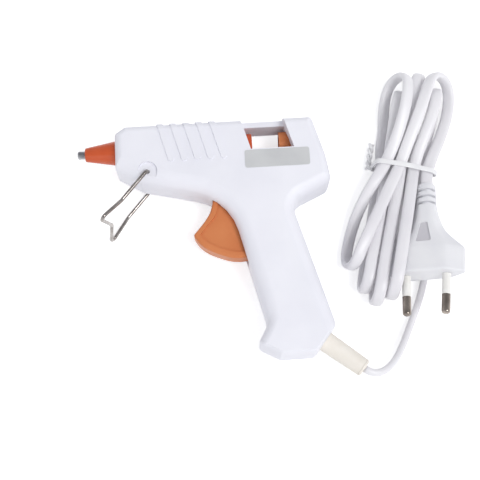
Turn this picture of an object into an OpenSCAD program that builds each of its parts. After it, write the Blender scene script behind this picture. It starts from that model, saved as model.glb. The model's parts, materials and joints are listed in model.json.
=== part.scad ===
// Mini hot glue applicator on its right side, with its cord tied in a hank and a flat mains plug.
// The gun is drawn upright about its stick axis: X to the rear, Y up, Z to the left side.
// The module lay() then turns it into the frame of the part, with the table at Z = 0.

/* [Housing] */
// Full width across both housing halves
body_w = 26; // [25:0.5:28]
// Wall thickness of the moulded halves
wall = 2; // [1.8:0.1:2.2]
// Depth over which a housing edge rounds off towards the side face
edge_depth = 6.5; // [6:0.25:7]
// Height of the roof above the stick axis
roof_y = 9.6; // [9.2:0.1:10.5]
// Distance from the trigger pivot to the nose face, along the barrel
nose_x = 56; // [54:0.5:58]
// Slope of the barrel's underside, in degrees
belly_slope = 13.5; // [12.5:0.25:14.5]
// Lean of the handle's front line, in degrees
grip_lean = 13.5; // [12.5:0.25:14.5]
// Distance from the stick axis to the foot of the handle
foot_y = 102; // [100:0.5:106]
// Radius of the hollow between barrel and handle, above the trigger
crotch_r = 26; // [23:1:27]
// Width of the roof bridge over the window
spine_w = 11; // [9:0.5:12]
// Thickness of the roof bridge
spine_t = 2.7; // [2.2:0.1:3.2]
// Length of the window along the barrel
window_len = 20.1; // [18.5:0.1:20.5]
// Number of raised grip ribs on each side of the barrel
rib_count = 5; // [3:1:6]
// Height of a grip rib above the surface
rib_h = 0.6; // [0.4:0.1:0.8]
// Spacing of the grip ribs
rib_pitch = 6.1; // [5.6:0.1:6.3]
// Shank radius of the housing screws
screw_r = 1.1; // [0.9:0.05:1.2]

/* [Nozzle and heater] */
// Length of bare nozzle in front of its cover
tip_len = 3.6; // [3:0.1:5]
// Radius of the bare nozzle
tip_r = 1.95; // [1.7:0.05:2.2]
// Length of the cover's cone in front of the nose
cover_len = 14.8; // [13:0.2:17]
// Outer radius of the cover at the nose
cover_r = 5.9; // [5.6:0.05:6.1]
// Outer radius of the melt chamber
chamber_r = 5; // [4.8:0.05:5.2]
// Radius of the glue stick that the gun takes
stick_r = 3.6; // [3.4:0.05:3.7]
// Outer radius of the inlet sleeve
sleeve_r = 5.7; // [5.6:0.05:5.8]

/* [Trigger and feed] */
// Radius of the trigger's lower edge about its pivot
trigger_r = 22.7; // [21.5:0.1:23]
// Thickness of the trigger
trigger_t = 9.6; // [8.8:0.1:10]
// Width of the raised rim round the trigger's side panel
trigger_rim = 2.8; // [2.2:0.1:3.2]
// Depth of the trigger's side panel
panel_depth = 0.9; // [0.5:0.1:1.2]
// Radius of the trigger's pivot pin
pivot_r = 1.5; // [1.2:0.1:1.8]
// Radius of the pin that drives the feed collar
feed_pin_r = 1.25; // [1:0.05:1.4]
// Outer radius of the feed collar
collar_r = 5.75; // [5.5:0.05:5.9]
// Length of the feed collar
collar_len = 14.4; // [14:0.2:15.8]
// Number of turns of the return spring
spring_turns = 7; // [6:1:8]

/* [Stand] */
// Radius of the stand's wire
wire_r = 0.9; // [0.75:0.05:1]
// Distance of the stand's legs from the middle plane
leg_z = 13.6; // [13.4:0.1:14.2]
// Length of a leg from the pivot to where it splays
leg_len = 18.3; // [16:0.1:20]
// Half width of the stand's foot
foot_z = 20; // [18:0.2:22]
// Distance from the pivot to the corners of the foot
foot_reach = 32.2; // [29:0.2:34]
// Depth of the notch in the middle of the foot
notch = 4.2; // [3:0.1:5]

/* [Cord outlet] */
// Length of the strain relief outside the handle
boot_len = 21; // [18:0.5:24]
// Radius of the strain relief at the handle
boot_r = 4.7; // [4.3:0.1:4.8]

/* [Cord and plug] */
// Width of the flat twin flex
flex_w = 5.6; // [5:0.1:5.7]
// Thickness of the flex
flex_t = 3.4; // [3:0.1:3.5]
// Width of the twist tie's strap
tie_w = 2.4; // [2:0.1:3]
// Thickness of the twist tie's strap
tie_t = 0.8; // [0.5:0.1:0.9]
// Width of the plug body at its face
plug_w = 35.4; // [34:0.2:35.6]
// Thickness of the plug body at its middle
plug_t = 13.7; // [12.5:0.1:13.9]
// Length of the plug body from its face to its neck
plug_len = 45; // [43:0.5:46]
// Radius of the plug's pins
plug_pin_r = 2; // [1.9:0.05:2.1]
// Length of the plug's pins in front of the face
plug_pin_len = 19; // [18:0.5:20]
// Distance between the plug's pins at the face
plug_pitch = 18.6; // [18:0.1:19.2]

/* [Hidden] */
$fn = 48;

// Clearances: a running pin, a face that slides, and two pieces that only lie close
run_gap = 0.05;
slide_gap = 0.3;
seat_gap = 0.1;
cut = 1;

// Corners of the housing's side outline, anticlockwise.
// Each is x, y, corner radius, and how far the edge that follows rounds off into the side face.
belly_front = [-44.3, -18.2];
crotch_x = -4.1;
crotch_y = belly_front[1] - (crotch_x - belly_front[0]) * tan(belly_slope);
flare_y = 14.5 - foot_y;
flare_x = crotch_x + (crotch_y - flare_y) * tan(grip_lean);
base_front = 15;
base_rear = 30.8;
heel = [40.5, 12 - foot_y];
rear_crotch = [24.6, -31.5];
tail = [44.1, -22.6];
rear_mid = [42.3, -9.5];
roof_rear = 37.1;
nose_bevel = 5;
nose_top = 6.2;
nose_low = -11.2;
toe = [flare_x - 5.2, 5.5 - foot_y];
OUTLINE = [
    [-nose_x, nose_low, 1.5, 7],
    [belly_front[0], belly_front[1], 4, 7],
    [crotch_x, crotch_y, crotch_r, 6],
    [flare_x, flare_y, 8, 4],
    [toe[0], toe[1], 2, 1],
    [base_front, -foot_y, 2, 0.8],
    [base_rear, -foot_y, 2, 1],
    [heel[0], heel[1], 3, 6],
    [rear_crotch[0], rear_crotch[1], 7, 5],
    [tail[0], tail[1], 4, 4],
    [rear_mid[0], rear_mid[1], 20, 4],
    [roof_rear, roof_y, 2, 4],
    [nose_bevel - nose_x, roof_y, 2.5, 4],
    [-nose_x, nose_top, 1.5, 4]
];
ARC_STEPS = 5;
EDGE_STEPS = 5;
least_r = 0.3;

// Inside of the shells: a wide part near the parting plane and a narrower one near the side face
half_w = body_w / 2;
cavity_step = 3.2;
cavity_drop = 4.5;
cavity_top = half_w - wall;
rib_root = 0.6;

// Window and the bulkheads at its two ends
lean = 15;
window_front = 5.8;
window_low = -6.4;
window_rear = window_front + window_len;
bulkhead = 2.4;
bulkhead_low = -6.2;

// Grip ribs
rib_w = 2.8;
rib_last = -6.2;
rib_low = -9;

// Screws: x and y of each boss
SCREWS = [[-49, -9.6], [-18, -17.5], [37, -17.5], [21, -70], [12.5, 8 - foot_y]];
boss_r = 2.8;
screw_head_r = 2.3;
screw_head_h = 1.6;
well_depth = 4;
screw_len = 17;

// Nozzle, chamber and heater, along the stick axis
tip_x = -(nose_x + cover_len + tip_len);
cover_x = -(nose_x + cover_len);
cover_wall = 0.65;
flange_r = 7.2;
flange_t = 1.6;
flange_x = wall + seat_gap - nose_x;
chamber_front = 4 - nose_x;
chamber_rear = -3;
stick_gap = 0.25;
bore_r = stick_r + stick_gap;
nozzle_bore = 0.8;
cradle_t = 2.2;
CRADLES = [[-46, -13], [-11.5, -5]];
block_front = -42;
block_rear = -16;
block_half = 5;
block_low = -9.8;
slot_low = -9.1;
slot_top = -5.7;
slot_half = 4.2;
film = 0.25;
plate_t = 0.4;
plate_half = 3.4;
tab_w = 2.4;
tab_z = 2.2;
tab_len = 4;
sleeve_front = -9;
sleeve_rear = 8.5;
clamp_x = -6.5;
clamp_w = 3;
clamp_t = 0.7;

// Trigger: its pivot, the lever's tip and its outline
pivot = [0, -35.5];
lever_tip = [13, -13];
lever_t = 5;
lever_r = 3;
hub_r = 4.4;
slot_gap = 0.4;
neck_r = 13.2;
lever_arm = norm(lever_tip - pivot);
lever_angle = atan2(lever_tip[1] - pivot[1], lever_tip[0] - pivot[0]);
pivot_boss_r = 3.4;
pivot_pin_half = 9.5;
half_bend = 20;
arc_slack = 0.4;
TRIGGER = [
    on_pivot(neck_r / cos(half_bend), 131, neck_r - arc_slack, 1.2),
    on_pivot(16.5, 176, 40, 1.2),
    on_pivot(trigger_r + 0.1, 201.2, 1.5, 1.2),
    on_pivot(trigger_r / cos(half_bend), 225, trigger_r - arc_slack, 1.2),
    on_pivot(trigger_r / cos(half_bend), 265, trigger_r - arc_slack, 1.2),
    [9, pivot[1] - 21, 1, 0.4],
    [9.2, pivot[1] - 10, 2, 0.4],
    [4.6, pivot[1] + 2, 2, 0.4],
    on_pivot(neck_r, 103, 0.5, 1.2)
];

// Feed collar and the lug below it
collar_front = 21.3;
lug_front = 9.4;
lug_rear = 27;
lug_top = -6.7;
lug_low = -16;
lug_half = 5.2;
lug_slot_rear = 18.6;
pin_slot_low = lever_tip[1] - 1.8;
pin_slot_top = -8.2;
flange_y = -11.4;
flange_half = 1;
flange_z = 8.6;
flange_front = 14;
flange_rear = 34;
rail_t = 1.8;
rail_front = 3;
rail_rear = 35.5;
rail_z = 6;

// Return spring between the trigger's back and a wall in the handle
spring_y = -50;
spring_front = 10.2;
spring_rear = 26;
spring_r = 2.6;
spring_wire = 0.4;
spring_nub_r = 1.7;
spring_nub = 1.4;

// Stand: its pivot, the way it points at rest, and the bends of its wire
stand_pivot = [-40.8, -14.2];
stand_angle = 228.8;
stand_inner = 9;
stand_pocket_r = 4.6;
stand_pocket_z = 11.6;
stand_boss_r = 4;
stand_pin_r = wire_r + 0.1;
pivot_over = 0.2;
STAND = concat(
    [[0, stand_inner + cut, 0], [0, leg_z, 1.7], [leg_len, leg_z, 4], [foot_reach, foot_z, 2]],
    [[foot_reach - notch, 0, 2]],
    [[foot_reach, -foot_z, 2], [leg_len, -leg_z, 4], [0, -leg_z, 1.7], [0, -stand_inner - cut, 0]]
);

// Strain relief: square to the slanted rear facet of the foot
facet_mid = [(base_rear + heel[0]) / 2, (heel[1] - foot_y) / 2];
boot_angle = atan2(base_rear - heel[0], heel[1] + foot_y);
boot_dir = [cos(boot_angle), sin(boot_angle)];
boot_tip_r = 4.2;
boot_chamfer = 0.6;
boot_flange_r = 5.4;
boot_flange = 1.8;
boot_inner = -wall - boot_flange - 2 * seat_gap;
boot_end = facet_mid + boot_len * boot_dir;

// Cord grip inside the handle, measured inwards along the strain relief
grip_at = -12;
grip_len = 6;
grip_span = 15;
grip_t = 2.3;
grip_screw = 5.2;
grip_screw_r = 0.9;
grip_hole_r = grip_screw_r + run_gap;
grip_head_r = 1.8;
grip_head_h = 1.2;
grip_screw_len = 9;
grip_boss_r = 2.3;
inner_end = -18;

// Wires: their radius, and the route of the live one from the inner cord to its terminal
core_r = 0.8;
terminal_r = 1;
terminal_front = block_rear + tab_len;
terminal_rear = CRADLES[1][0] + cradle_t;
WIRE = [
    [17.8, -77, 4], [16, -68, 6.4], [14.5, -56, 7.2], [12, -40, 7.2], [6, -26, 7.2], [-4, -17, 6.6],
    [-7.4, -10.6, 3.8]
];

// Hank: its middle at the tie, its lean, and the sideways place of its runs there
hank_at = [88.5, 36];
hank_lean = 14;
across = [cos(hank_lean), -sin(hank_lean), 0];
along = [sin(hank_lean), cos(hank_lean), 0];
up = [0, 0, 1];
hank_first = 9.2;
hank_pitch = 6.2;
flex_rest = 1.8;
hank_low = 3.3;
hank_high = 7.2;
// Folds at the two ends: distance from the tie, sideways place of the lower and the upper leg,
// and height of the upper leg
TOP_FOLDS = [[35.5, 11.6, 11.2, 14.2], [42.6, 3.6, 1, 13.6], [33, -4.4, -6.6, 12.4]];
FOOT_FOLDS = [[-53.8, 3.2, 5.4, 20.4], [-59.5, -3, -1.2, 16.6], [-55.6, -9.2, -7.1, 14.2]];
hank_from = [-20, 12.4, flex_rest];
hank_to = [14, -10.8, flex_rest];
loop_rings = 24;

// Free lengths of the flex: sideways, along the hank, height, and roll of its flat side
LEAD = [
    [4.4, -98.4, 10.6, 90], [8.8, -94, 8, 90], [12.2, -86, 4.8, 90], [14.8, -75, 3, 90], [17, -64, 3, 90],
    [18.4, -53, 3, 90], [18.2, -43, 3, 80], [15.6, -33, 2.5, 35], [12.4, -26, 1.8, 0]
];
TAIL = [
    [-10.8, 20, 1.9, 0], [-12, 28, 3, -14], [-12.3, 37, 4.6, -34], [-10.8, 43.1, 6.7, -35],
    [-7.3, 45.6, 11.6, -35], [-3.9, 43.1, 16.6, -35], [-2.7, 37, 18.7, -28], [-2.7, 27, 18.3, -20],
    [-3.9, 16, 15.8, -10], [-5.8, 7, 13.1, 0], [-8, -1, 11.9, 0], [-11, -8.5, 12, -4],
    [-14.4, -17, 9.4, -10], [-17.3, -27, 5.8, -18], [-18.7, -37, 4, -25], [-18.9, -45.5, 3.8, -26],
    [-18, -50.2, 5.5, -26], [-15.9, -52.2, 9.8, -25], [-13.9, -50.2, 14.1, -22], [-12.9, -45.5, 16, -16],
    [-10.8, -37.5, 17, -10], [-6.5, -21.5, 16.2, 0], [-3.6, -10, 13.9, 0], [-0.9, 0, 11.8, 0],
    [0.6, 8, 13.9, 0], [2.5, 17, 16.1, 0], [4.6, 28, 18, 5], [6.4, 39.5, 18.4, 25], [8.1, 45.9, 16.3, 39],
    [12.3, 48.5, 11.4, 40], [16.5, 45.9, 6.5, 39], [18.2, 39.5, 4.6, 25], [18.2, 30, 4.2, 10],
    [16.4, 19, 5, 0], [13.6, 7, 7.6, 0]
];

// Twist tie: corners of its inner outline, sideways and in height, and its twisted ends
TIE = [
    [-13.2, 1.2, 1, 0], [12.4, 1.2, 1.5, 0], [16.8, 8.4, 2, 0], [14, 11.9, 2, 0],
    [2, 14.2, 2, 0], [-11.2, 14.4, 2, 0], [-13.2, 5, 2, 0]
];
twist_turns = 3;
twist_len = 13;
twist_r = 0.75;
twist_wire = 0.55;

// Plug: its neck, the way its body points from there, and its roll
plug_neck = [13.2, -7.3, 9.5];
plug_way = [5, -44.4, 6];
plug_roll = 22;
neck_half = 4;
// Stations from the face to the neck: distance, half width, half thickness, squareness of the section
PLUG = [
    [0, plug_w / 2 - 0.9, plug_t / 2 - 0.9, 2.8], [0.9, plug_w / 2, plug_t / 2, 2.8],
    [11.4, plug_w / 2 - 0.1, plug_t / 2, 2.8], [13.4, plug_w / 2 - 1.7, plug_t / 2 - 0.2, 2.8],
    [17, 12.4, 6.3, 2.6], [20.5, 9.4, 5.8, 2.6], [25, 7.1, 5.2, 2.6], [32.8, 4.8, 4.5, 2.6],
    [plug_len - 0.6, neck_half, neck_half, 2.4], [plug_len, neck_half - 0.6, neck_half - 0.6, 2.4]
];
plug_sides = 28;
sleeve_len = 10;
core_pin_r = 1.5;
pin_root = 9;
pin_toe_in = 1.6;
NECK_SLOTS = [plug_len - 10.3, plug_len - 7, plug_len - 3.7];
neck_slot_w = 1.4;
panel_mid = 20.5;
panel_len = 11;
panel_w = 9;
panel_slope = 7.2;

// The gun lies on the rear of its side face and on a corner of the stand's foot
stand_path = bent(STAND, 4);
foot_half = max([for (p = stand_path) p[1]]);
foot_along = [for (p = stand_path) if (p[1] == foot_half) p[0]][0];
foot_low = foot_half + wire_r;
foot_x = stand_pivot[0] + foot_along * cos(stand_angle);
rest_x = tail[0] - OUTLINE[9][3];
rest_run = rest_x - foot_x;
lay_tilt = atan2(foot_low - half_w, rest_run);
rest_h = rest_x * sin(lay_tilt) + half_w * cos(lay_tilt);
row_x = (tip_x + boot_end[0] - (boot_tip_r - boot_chamfer) * sin(boot_angle)) / 2 * cos(lay_tilt);
row_y = (roof_y + rib_h + boot_end[1] - boot_chamfer * boot_dir[1] - boot_tip_r * cos(boot_angle)) / 2;

// Outlines in the plane

function unit(v) = v / norm(v);
function left(d) = [-d[1], d[0]];
function at(list, i) = list[(i + len(list)) % len(list)];
function flat(p) = [p[0], p[1]];
function heading(o, i) = unit(flat(at(o, i + 1)) - flat(at(o, i)));
function turn_at(o, i) =
    let (a = heading(o, i - 1), b = heading(o, i))
    atan2(cross(a, b), a * b);
function turned(v, a) = [v[0] * cos(a) - v[1] * sin(a), v[0] * sin(a) + v[1] * cos(a)];
function on_pivot(r, a, corner, edge) = [pivot[0] + r * cos(a), pivot[1] + r * sin(a), corner, edge];

// Moves each edge of an outline inwards by a share of its own round-off and by a fixed distance
function inset(o, share, more) = [
    for (i = [0 : len(o) - 1])
        let (
            before = share * at(o, i - 1)[3] + more,
            after = share * o[i][3] + more,
            d = heading(o, i - 1),
            t = turn_at(o, i),
            along = (before * cos(t) - after) / sin(t),
            p = flat(o[i]) + along * d + before * left(d),
            r = o[i][2] - sign(t) * (before + after) / 2
        )
        [p[0], p[1], max(r, least_r), o[i][3]]
];

// Points of an outline, with an arc at each corner
function rounded(o, steps) = [
    for (i = [0 : len(o) - 1])
        let (
            d = heading(o, i - 1),
            t = turn_at(o, i),
            from = flat(o[i]) - o[i][2] * tan(abs(t) / 2) * d,
            centre = from + sign(t) * o[i][2] * left(d)
        )
        for (k = [0 : steps])
            centre + turned(from - centre, t * k / steps)
];

function lifted(points, z) = [for (p = points) [p[0], p[1], z]];

// Rings of one rounded edge, from its full outline up to the side face
function edge_rings(o, half, depth, steps) = [
    for (k = [0 : steps])
        let (a = 90 * k / steps)
        lifted(rounded(inset(o, 1 - cos(a), 0), ARC_STEPS), half - depth + depth * sin(a))
];

function mirrored(rings) = [
    for (k = [len(rings) - 1 : -1 : 0])
        [for (p = rings[k]) [p[0], p[1], -p[2]]]
];

// Triangles that fill a flat ring: a fan for a convex one, and ears cut off one by one for any other
function fan(n) = [for (i = [1 : n - 2]) [0, i, i + 1]];
function inside(p, a, b, c) = min(cross(b - a, p - a), cross(c - b, p - b), cross(a - c, p - c)) > 0;
function corner_at(ids, i) = [at(ids, i - 1), at(ids, i), at(ids, i + 1)];
function is_ear(points, ids, i) =
    let (t = [for (k = corner_at(ids, i)) points[k]])
    cross(t[1] - t[0], t[2] - t[1]) > 0
        && len([for (k = ids) if (inside(points[k], t[0], t[1], t[2])) k]) == 0;
function first_ear(points, ids, i) = is_ear(points, ids, i) ? i : first_ear(points, ids, i + 1);
function ears(points, ids) =
    len(ids) == 3
        ? [ids]
        : let (
            i = first_ear(points, ids, 0),
            rest = [for (k = [0 : len(ids) - 1]) if (k != i) ids[k]]
        )
        concat([corner_at(ids, i)], ears(points, rest));
function cap(r) = ears([for (p = r) flat(p)], [for (i = [0 : len(r) - 1]) i]);

// A closed skin over a stack of rings that all have as many points, with its end faces as triangles
module loft(rings, first_cap, last_cap) {
    n = len(rings[0]);
    last = (len(rings) - 1) * n;
    sides = [
        for (j = [0 : n : last - n])
            for (i = [0 : n - 1])
                let (k = (i + 1) % n)
                for (f = [[j + i, j + n + i, j + n + k], [j + i, j + n + k, j + k]])
                    f
    ];
    top = [for (f = last_cap) [last + f[0], last + f[2], last + f[1]]];
    polyhedron([for (r = rings) for (p = r) p], concat(first_cap, sides, top));
}

module flat_loft(rings) {
    loft(rings, cap(rings[0]), cap(rings[len(rings) - 1]));
}

module tube(rings) {
    ends = fan(len(rings[0]));
    loft(rings, ends, ends);
}

// A plate with both edges rounded
module pillow(o, half, depth, steps) {
    rings = edge_rings(o, half, depth, steps);
    flat_loft(concat(mirrored(rings), rings));
}

module along_x() {
    rotate([0, 90, 0])
        children();
}

// Round piece about the stick axis, from pairs of radius and x
module turned_piece(points) {
    along_x()
        rotate_extrude()
            polygon(points);
}

module rod_x(r, from, to) {
    translate([from, 0, 0])
        along_x()
            cylinder(r = r, h = to - from);
}

module rod_z(p, r, from, to) {
    translate([p[0], p[1], from])
        cylinder(r = r, h = to - from);
}

module slab(low, high) {
    translate(low)
        cube(high - low);
}

module lay() {
    translate([-row_x, -row_y, rest_h])
        rotate([0, lay_tilt, 0])
            children();
}

// Housing

module outer_half() {
    flat_loft(concat(
        [lifted(rounded(OUTLINE, ARC_STEPS), 0)],
        edge_rings(OUTLINE, half_w, edge_depth, EDGE_STEPS)
    ));
}

module cavity(grow) {
    translate([0, 0, -cut])
        linear_extrude(half_w - cavity_drop + grow + cut)
            polygon(rounded(inset(OUTLINE, 0, wall - grow), ARC_STEPS));
    translate([0, 0, -cut])
        linear_extrude(cavity_top + grow + cut)
            polygon(rounded(inset(OUTLINE, 0, wall + cavity_step - grow), ARC_STEPS));
}

// A slanted plate across the barrel, in step with the window's sides
module leaning(from, to, low, high) {
    s = tan(lean);
    polygon([[from - s * low, low], [to - s * low, low], [to - s * high, high], [from - s * high, high]]);
}

// The window is cut through the first wall and leaves its two bulkheads and the roof bridge
module inner_walls() {
    linear_extrude(half_w)
        leaning(window_front - bulkhead, window_rear + bulkhead, bulkhead_low, roof_y);
    for (c = CRADLES)
        slab([c[0], c[1], 0], [c[0] + cradle_t, roof_y, half_w]);
    for (side = [-1, 1])
        let (y = flange_y + side * (flange_half + slide_gap + rail_t / 2))
        slab([rail_front, y - rail_t / 2, rail_z], [rail_rear, y + rail_t / 2, half_w]);
    slab([spring_rear + seat_gap, spring_y - 4.5, 0], [spring_rear + 6, spring_y + 4.5, half_w]);
}

module grip_ribs() {
    top = roof_y + rib_h;
    side = half_w + rib_h;
    sunk = 2;
    arc = [
        for (k = [0 : 10 : 90])
            [
                half_w - edge_depth + (edge_depth + rib_h) * sin(k),
                top - (OUTLINE[11][3] + rib_h) * (1 - cos(k))
            ]
    ];
    profile = concat(
        [[0, top - sunk], [0, top]],
        arc,
        [[side, -20], [side - sunk, -20], [side - 2 * sunk, 4]]
    );
    for (k = [0 : rib_count - 1])
        let (x = rib_last - k * rib_pitch - rib_w / 2)
        intersection() {
            translate([x - 10, 0, 0])
                rotate([90, 0, 90])
                    linear_extrude(20)
                        polygon([for (p = profile) [p[1], p[0]]]);
            union() {
                linear_extrude(2 * body_w)
                    leaning(x - rib_w / 2, x + rib_w / 2, rib_low, top + cut);
                translate([x - rib_low * tan(lean), rib_low, 0])
                    cylinder(r = rib_w / 2 * cos(lean), h = 2 * body_w);
            }
        }
}

module window_cut() {
    intersection() {
        translate([0, 0, -cut])
            linear_extrude(2 * body_w)
                leaning(window_front, window_rear, window_low, roof_y + 2 * cut);
        union() {
            slab([0, -foot_y, -cut], [tail[0], roof_y - spine_t, body_w]);
            slab([0, -foot_y, spine_w / 2], [tail[0], 2 * roof_y, body_w]);
        }
    }
}

module trigger_slot() {
    translate([pivot[0], pivot[1], -cut]) {
        cylinder(r = neck_r + slot_gap, h = trigger_t / 2 + slot_gap + cut);
        intersection() {
            cylinder(r = trigger_r + slot_gap, h = trigger_t / 2 + slot_gap + cut, $fn = 96);
            linear_extrude(body_w)
                polygon([[0, 0], 60 * [cos(165), sin(165)], [-60, -60], [30, -60]]);
        }
    }
    translate([0, 0, -cut])
        linear_extrude(trigger_t / 2 + slot_gap + cut)
            polygon(rounded(inset(TRIGGER, 0, -slot_gap), ARC_STEPS));
}

module stand_seat_cut() {
    translate([stand_pivot[0], stand_pivot[1], stand_pocket_z]) {
        cylinder(r = stand_pocket_r, h = half_w);
        rotate(stand_angle)
            translate([0, -2.4 * wire_r, 0])
                cube([10, 4.8 * wire_r, half_w]);
    }
    rod_z(stand_pivot, stand_pin_r + run_gap, stand_inner - seat_gap, half_w);
}

module boot_seat_cut() {
    translate([facet_mid[0], facet_mid[1], 0])
        rotate(boot_angle)
            rod_x(boot_r + seat_gap, -wall - cut, wall + cut);
}

module shell_half() {
    difference() {
        union() {
            difference() {
                outer_half();
                cavity(0);
            }
            intersection() {
                cavity(rib_root);
                union() {
                    inner_walls();
                    for (p = SCREWS)
                        rod_z(p, boss_r, 0, half_w);
                    rod_z(pivot, pivot_boss_r, trigger_t / 2 + 0.2, half_w);
                    rod_z(stand_pivot, stand_boss_r, stand_inner - cut, half_w);
                }
            }
            grip_ribs();
        }
        window_cut();
        trigger_slot();
        stand_seat_cut();
        boot_seat_cut();
        rod_x(cover_r + seat_gap, -nose_x - cut, -nose_x + wall + cut);
        rod_x(flange_r + seat_gap, flange_x - seat_gap, flange_x + flange_t + seat_gap);
        rod_x(chamber_r + seat_gap, flange_x, chamber_rear);
        rod_x(sleeve_r + seat_gap, sleeve_front, window_front + 2 * cut);
        rod_x(collar_r + slide_gap, window_rear - 2 * cut, window_rear + 2 * bulkhead);
        rod_x(bore_r + stick_gap, window_rear, tail[0] + cut);
        rod_z(pivot, pivot_r + run_gap, 0, pivot_pin_half + seat_gap);
    }
}

module housing_left() {
    color("whitesmoke")
        lay()
            difference() {
                shell_half();
                for (p = SCREWS)
                    rod_z(p, screw_r + run_gap, -cut, screw_len - half_w + well_depth + seat_gap);
            }
}

// Bosses and rib on the right half that carry the cord grip, drawn towards the side face
module grip_seat() {
    grip_low = -flex_w / 2 - seat_gap;
    intersection() {
        translate([0, 0, -half_w])
            linear_extrude(2 * half_w)
                polygon(rounded(inset(OUTLINE, 0, wall - rib_root), ARC_STEPS));
        on_boot() {
            for (side = [-1, 1])
                rod_z([grip_at, side * grip_screw], grip_boss_r, grip_low, cavity_top + rib_root);
            slab(
                [grip_at - grip_len / 2, -flex_t / 2, flex_w / 2 + seat_gap],
                [grip_at + grip_len / 2, flex_t / 2, cavity_top + rib_root]
            );
        }
    }
}

module housing_right() {
    color("whitesmoke")
        lay()
            mirror([0, 0, 1])
                difference() {
                    union() {
                        shell_half();
                        grip_seat();
                    }
                    on_boot()
                        for (side = [-1, 1])
                            rod_z([grip_at, side * grip_screw], grip_hole_r, -half_w, grip_screw_len);
                    for (p = SCREWS) {
                        rod_z(p, screw_r + run_gap, -cut, half_w);
                        rod_z(p, screw_head_r + slide_gap, half_w - well_depth, half_w + cut);
                    }
                }
}

module housing_screws() {
    color("silver")
        lay()
            for (p = SCREWS)
                mirror([0, 0, 1]) {
                    rod_z(p, screw_head_r, half_w - well_depth, half_w - well_depth + screw_head_h);
                    rod_z(p, screw_r, half_w - well_depth - screw_len, half_w - well_depth);
                }
}

// Nozzle, melt chamber and heater

module nozzle_tip() {
    cone_r = cover_r - cover_wall - seat_gap;
    color("silver")
        lay()
            turned_piece([
                [nozzle_bore, tip_x],
                [tip_r - 0.4, tip_x],
                [tip_r, tip_x + 0.4],
                [tip_r, cover_x + 0.6],
                [tip_r + 0.6, cover_x + 1.2],
                [cone_r - 0.8, chamber_front - 5],
                [cone_r - 0.8, chamber_front - seat_gap],
                [bore_r - seat_gap, chamber_front - seat_gap],
                [bore_r - seat_gap, chamber_front + 6],
                [nozzle_bore + 1.6, chamber_front + 6],
                [nozzle_bore, chamber_front]
            ]);
}

module nozzle_cover() {
    cone_r = cover_r - cover_wall - seat_gap;
    color("chocolate")
        lay()
            turned_piece([
                [tip_r + seat_gap, cover_x],
                [tip_r + 1.1, cover_x],
                [tip_r + 1.4, cover_x + 0.3],
                [cover_r, -nose_x],
                [cover_r, flange_x],
                [flange_r, flange_x],
                [flange_r, flange_x + flange_t],
                [cone_r - 0.8 + seat_gap, flange_x + flange_t],
                [cone_r - 0.8 + seat_gap, chamber_front - 5],
                [tip_r + 0.6 + seat_gap, cover_x + 1.2],
                [tip_r + seat_gap, cover_x + 0.6]
            ]);
}

module melt_chamber() {
    color("gainsboro")
        lay()
            difference() {
                union() {
                    rod_x(chamber_r, chamber_front, chamber_rear);
                    slab([block_front, block_low, -block_half], [block_rear, 0, block_half]);
                }
                rod_x(bore_r, chamber_front - cut, chamber_rear + cut);
                slab([block_front - cut, slot_low, -slot_half], [block_rear + cut, slot_top, slot_half]);
            }
}

module heater_insulation() {
    gap = seat_gap / 2;
    color("goldenrod")
        lay()
            difference() {
                slab(
                    [block_front, slot_low + gap, gap - slot_half],
                    [block_rear, slot_top - gap, slot_half - gap]
                );
                slab(
                    [block_front - cut, slot_low + gap + film, gap + film - slot_half],
                    [block_rear + cut, slot_top - gap - film, slot_half - gap - film]
                );
            }
}

plate_low = slot_low + film + seat_gap;
plate_top = slot_top - film - seat_gap;

module heater_element() {
    color("dimgray")
        lay()
            slab(
                [block_front + 3, plate_low + plate_t + seat_gap / 2, -plate_half],
                [block_rear - 3, plate_top - plate_t - seat_gap / 2, plate_half]
            );
}

// One contact plate with its tab, above or below the element
module contact(low, z) {
    slab([block_front + 1, low, -plate_half], [block_rear - 1, low + plate_t, plate_half]);
    slab([block_rear - 2, low, z - tab_w / 2], [block_rear + tab_len, low + plate_t, z + tab_w / 2]);
}

module heater_contacts() {
    color("darkgoldenrod")
        lay() {
            contact(plate_low, -tab_z);
            contact(plate_top - plate_t, tab_z);
        }
}

module inlet_sleeve() {
    mouth = 0.8;
    color("chocolate")
        lay()
            turned_piece([
                [chamber_r + seat_gap, sleeve_front],
                [sleeve_r, sleeve_front],
                [sleeve_r, sleeve_rear - 0.4],
                [sleeve_r - 0.4, sleeve_rear],
                [bore_r + mouth, sleeve_rear],
                [bore_r, sleeve_rear - 2 * mouth],
                [bore_r, chamber_rear + seat_gap],
                [chamber_r + seat_gap, chamber_rear + seat_gap]
            ]);
}

module sleeve_clamp() {
    color("silver")
        lay()
            difference() {
                rod_x(sleeve_r + seat_gap + clamp_t, clamp_x, clamp_x + clamp_w);
                rod_x(sleeve_r + seat_gap, clamp_x - cut, clamp_x + clamp_w + cut);
                slab([clamp_x - cut, 0, -1], [clamp_x + clamp_w + cut, roof_y, 1]);
            }
}

// Trigger lever and feed

module side_panel() {
    panel = inset(TRIGGER, 0, trigger_rim);
    for (side = [-1, 1])
        translate([0, 0, side * trigger_t / 2 - panel_depth])
            linear_extrude(2 * panel_depth)
                polygon(rounded(panel, ARC_STEPS));
}

module lever_arm_shape() {
    translate([pivot[0], pivot[1], -lever_t / 2])
        rotate(lever_angle) {
            linear_extrude(lever_t)
                polygon([
                    [0, -hub_r],
                    [lever_arm, -lever_r],
                    [lever_arm, lever_r],
                    [0, hub_r]
                ]);
            translate([lever_arm, 0, 0])
                cylinder(r = lever_r, h = lever_t);
        }
}

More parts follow.
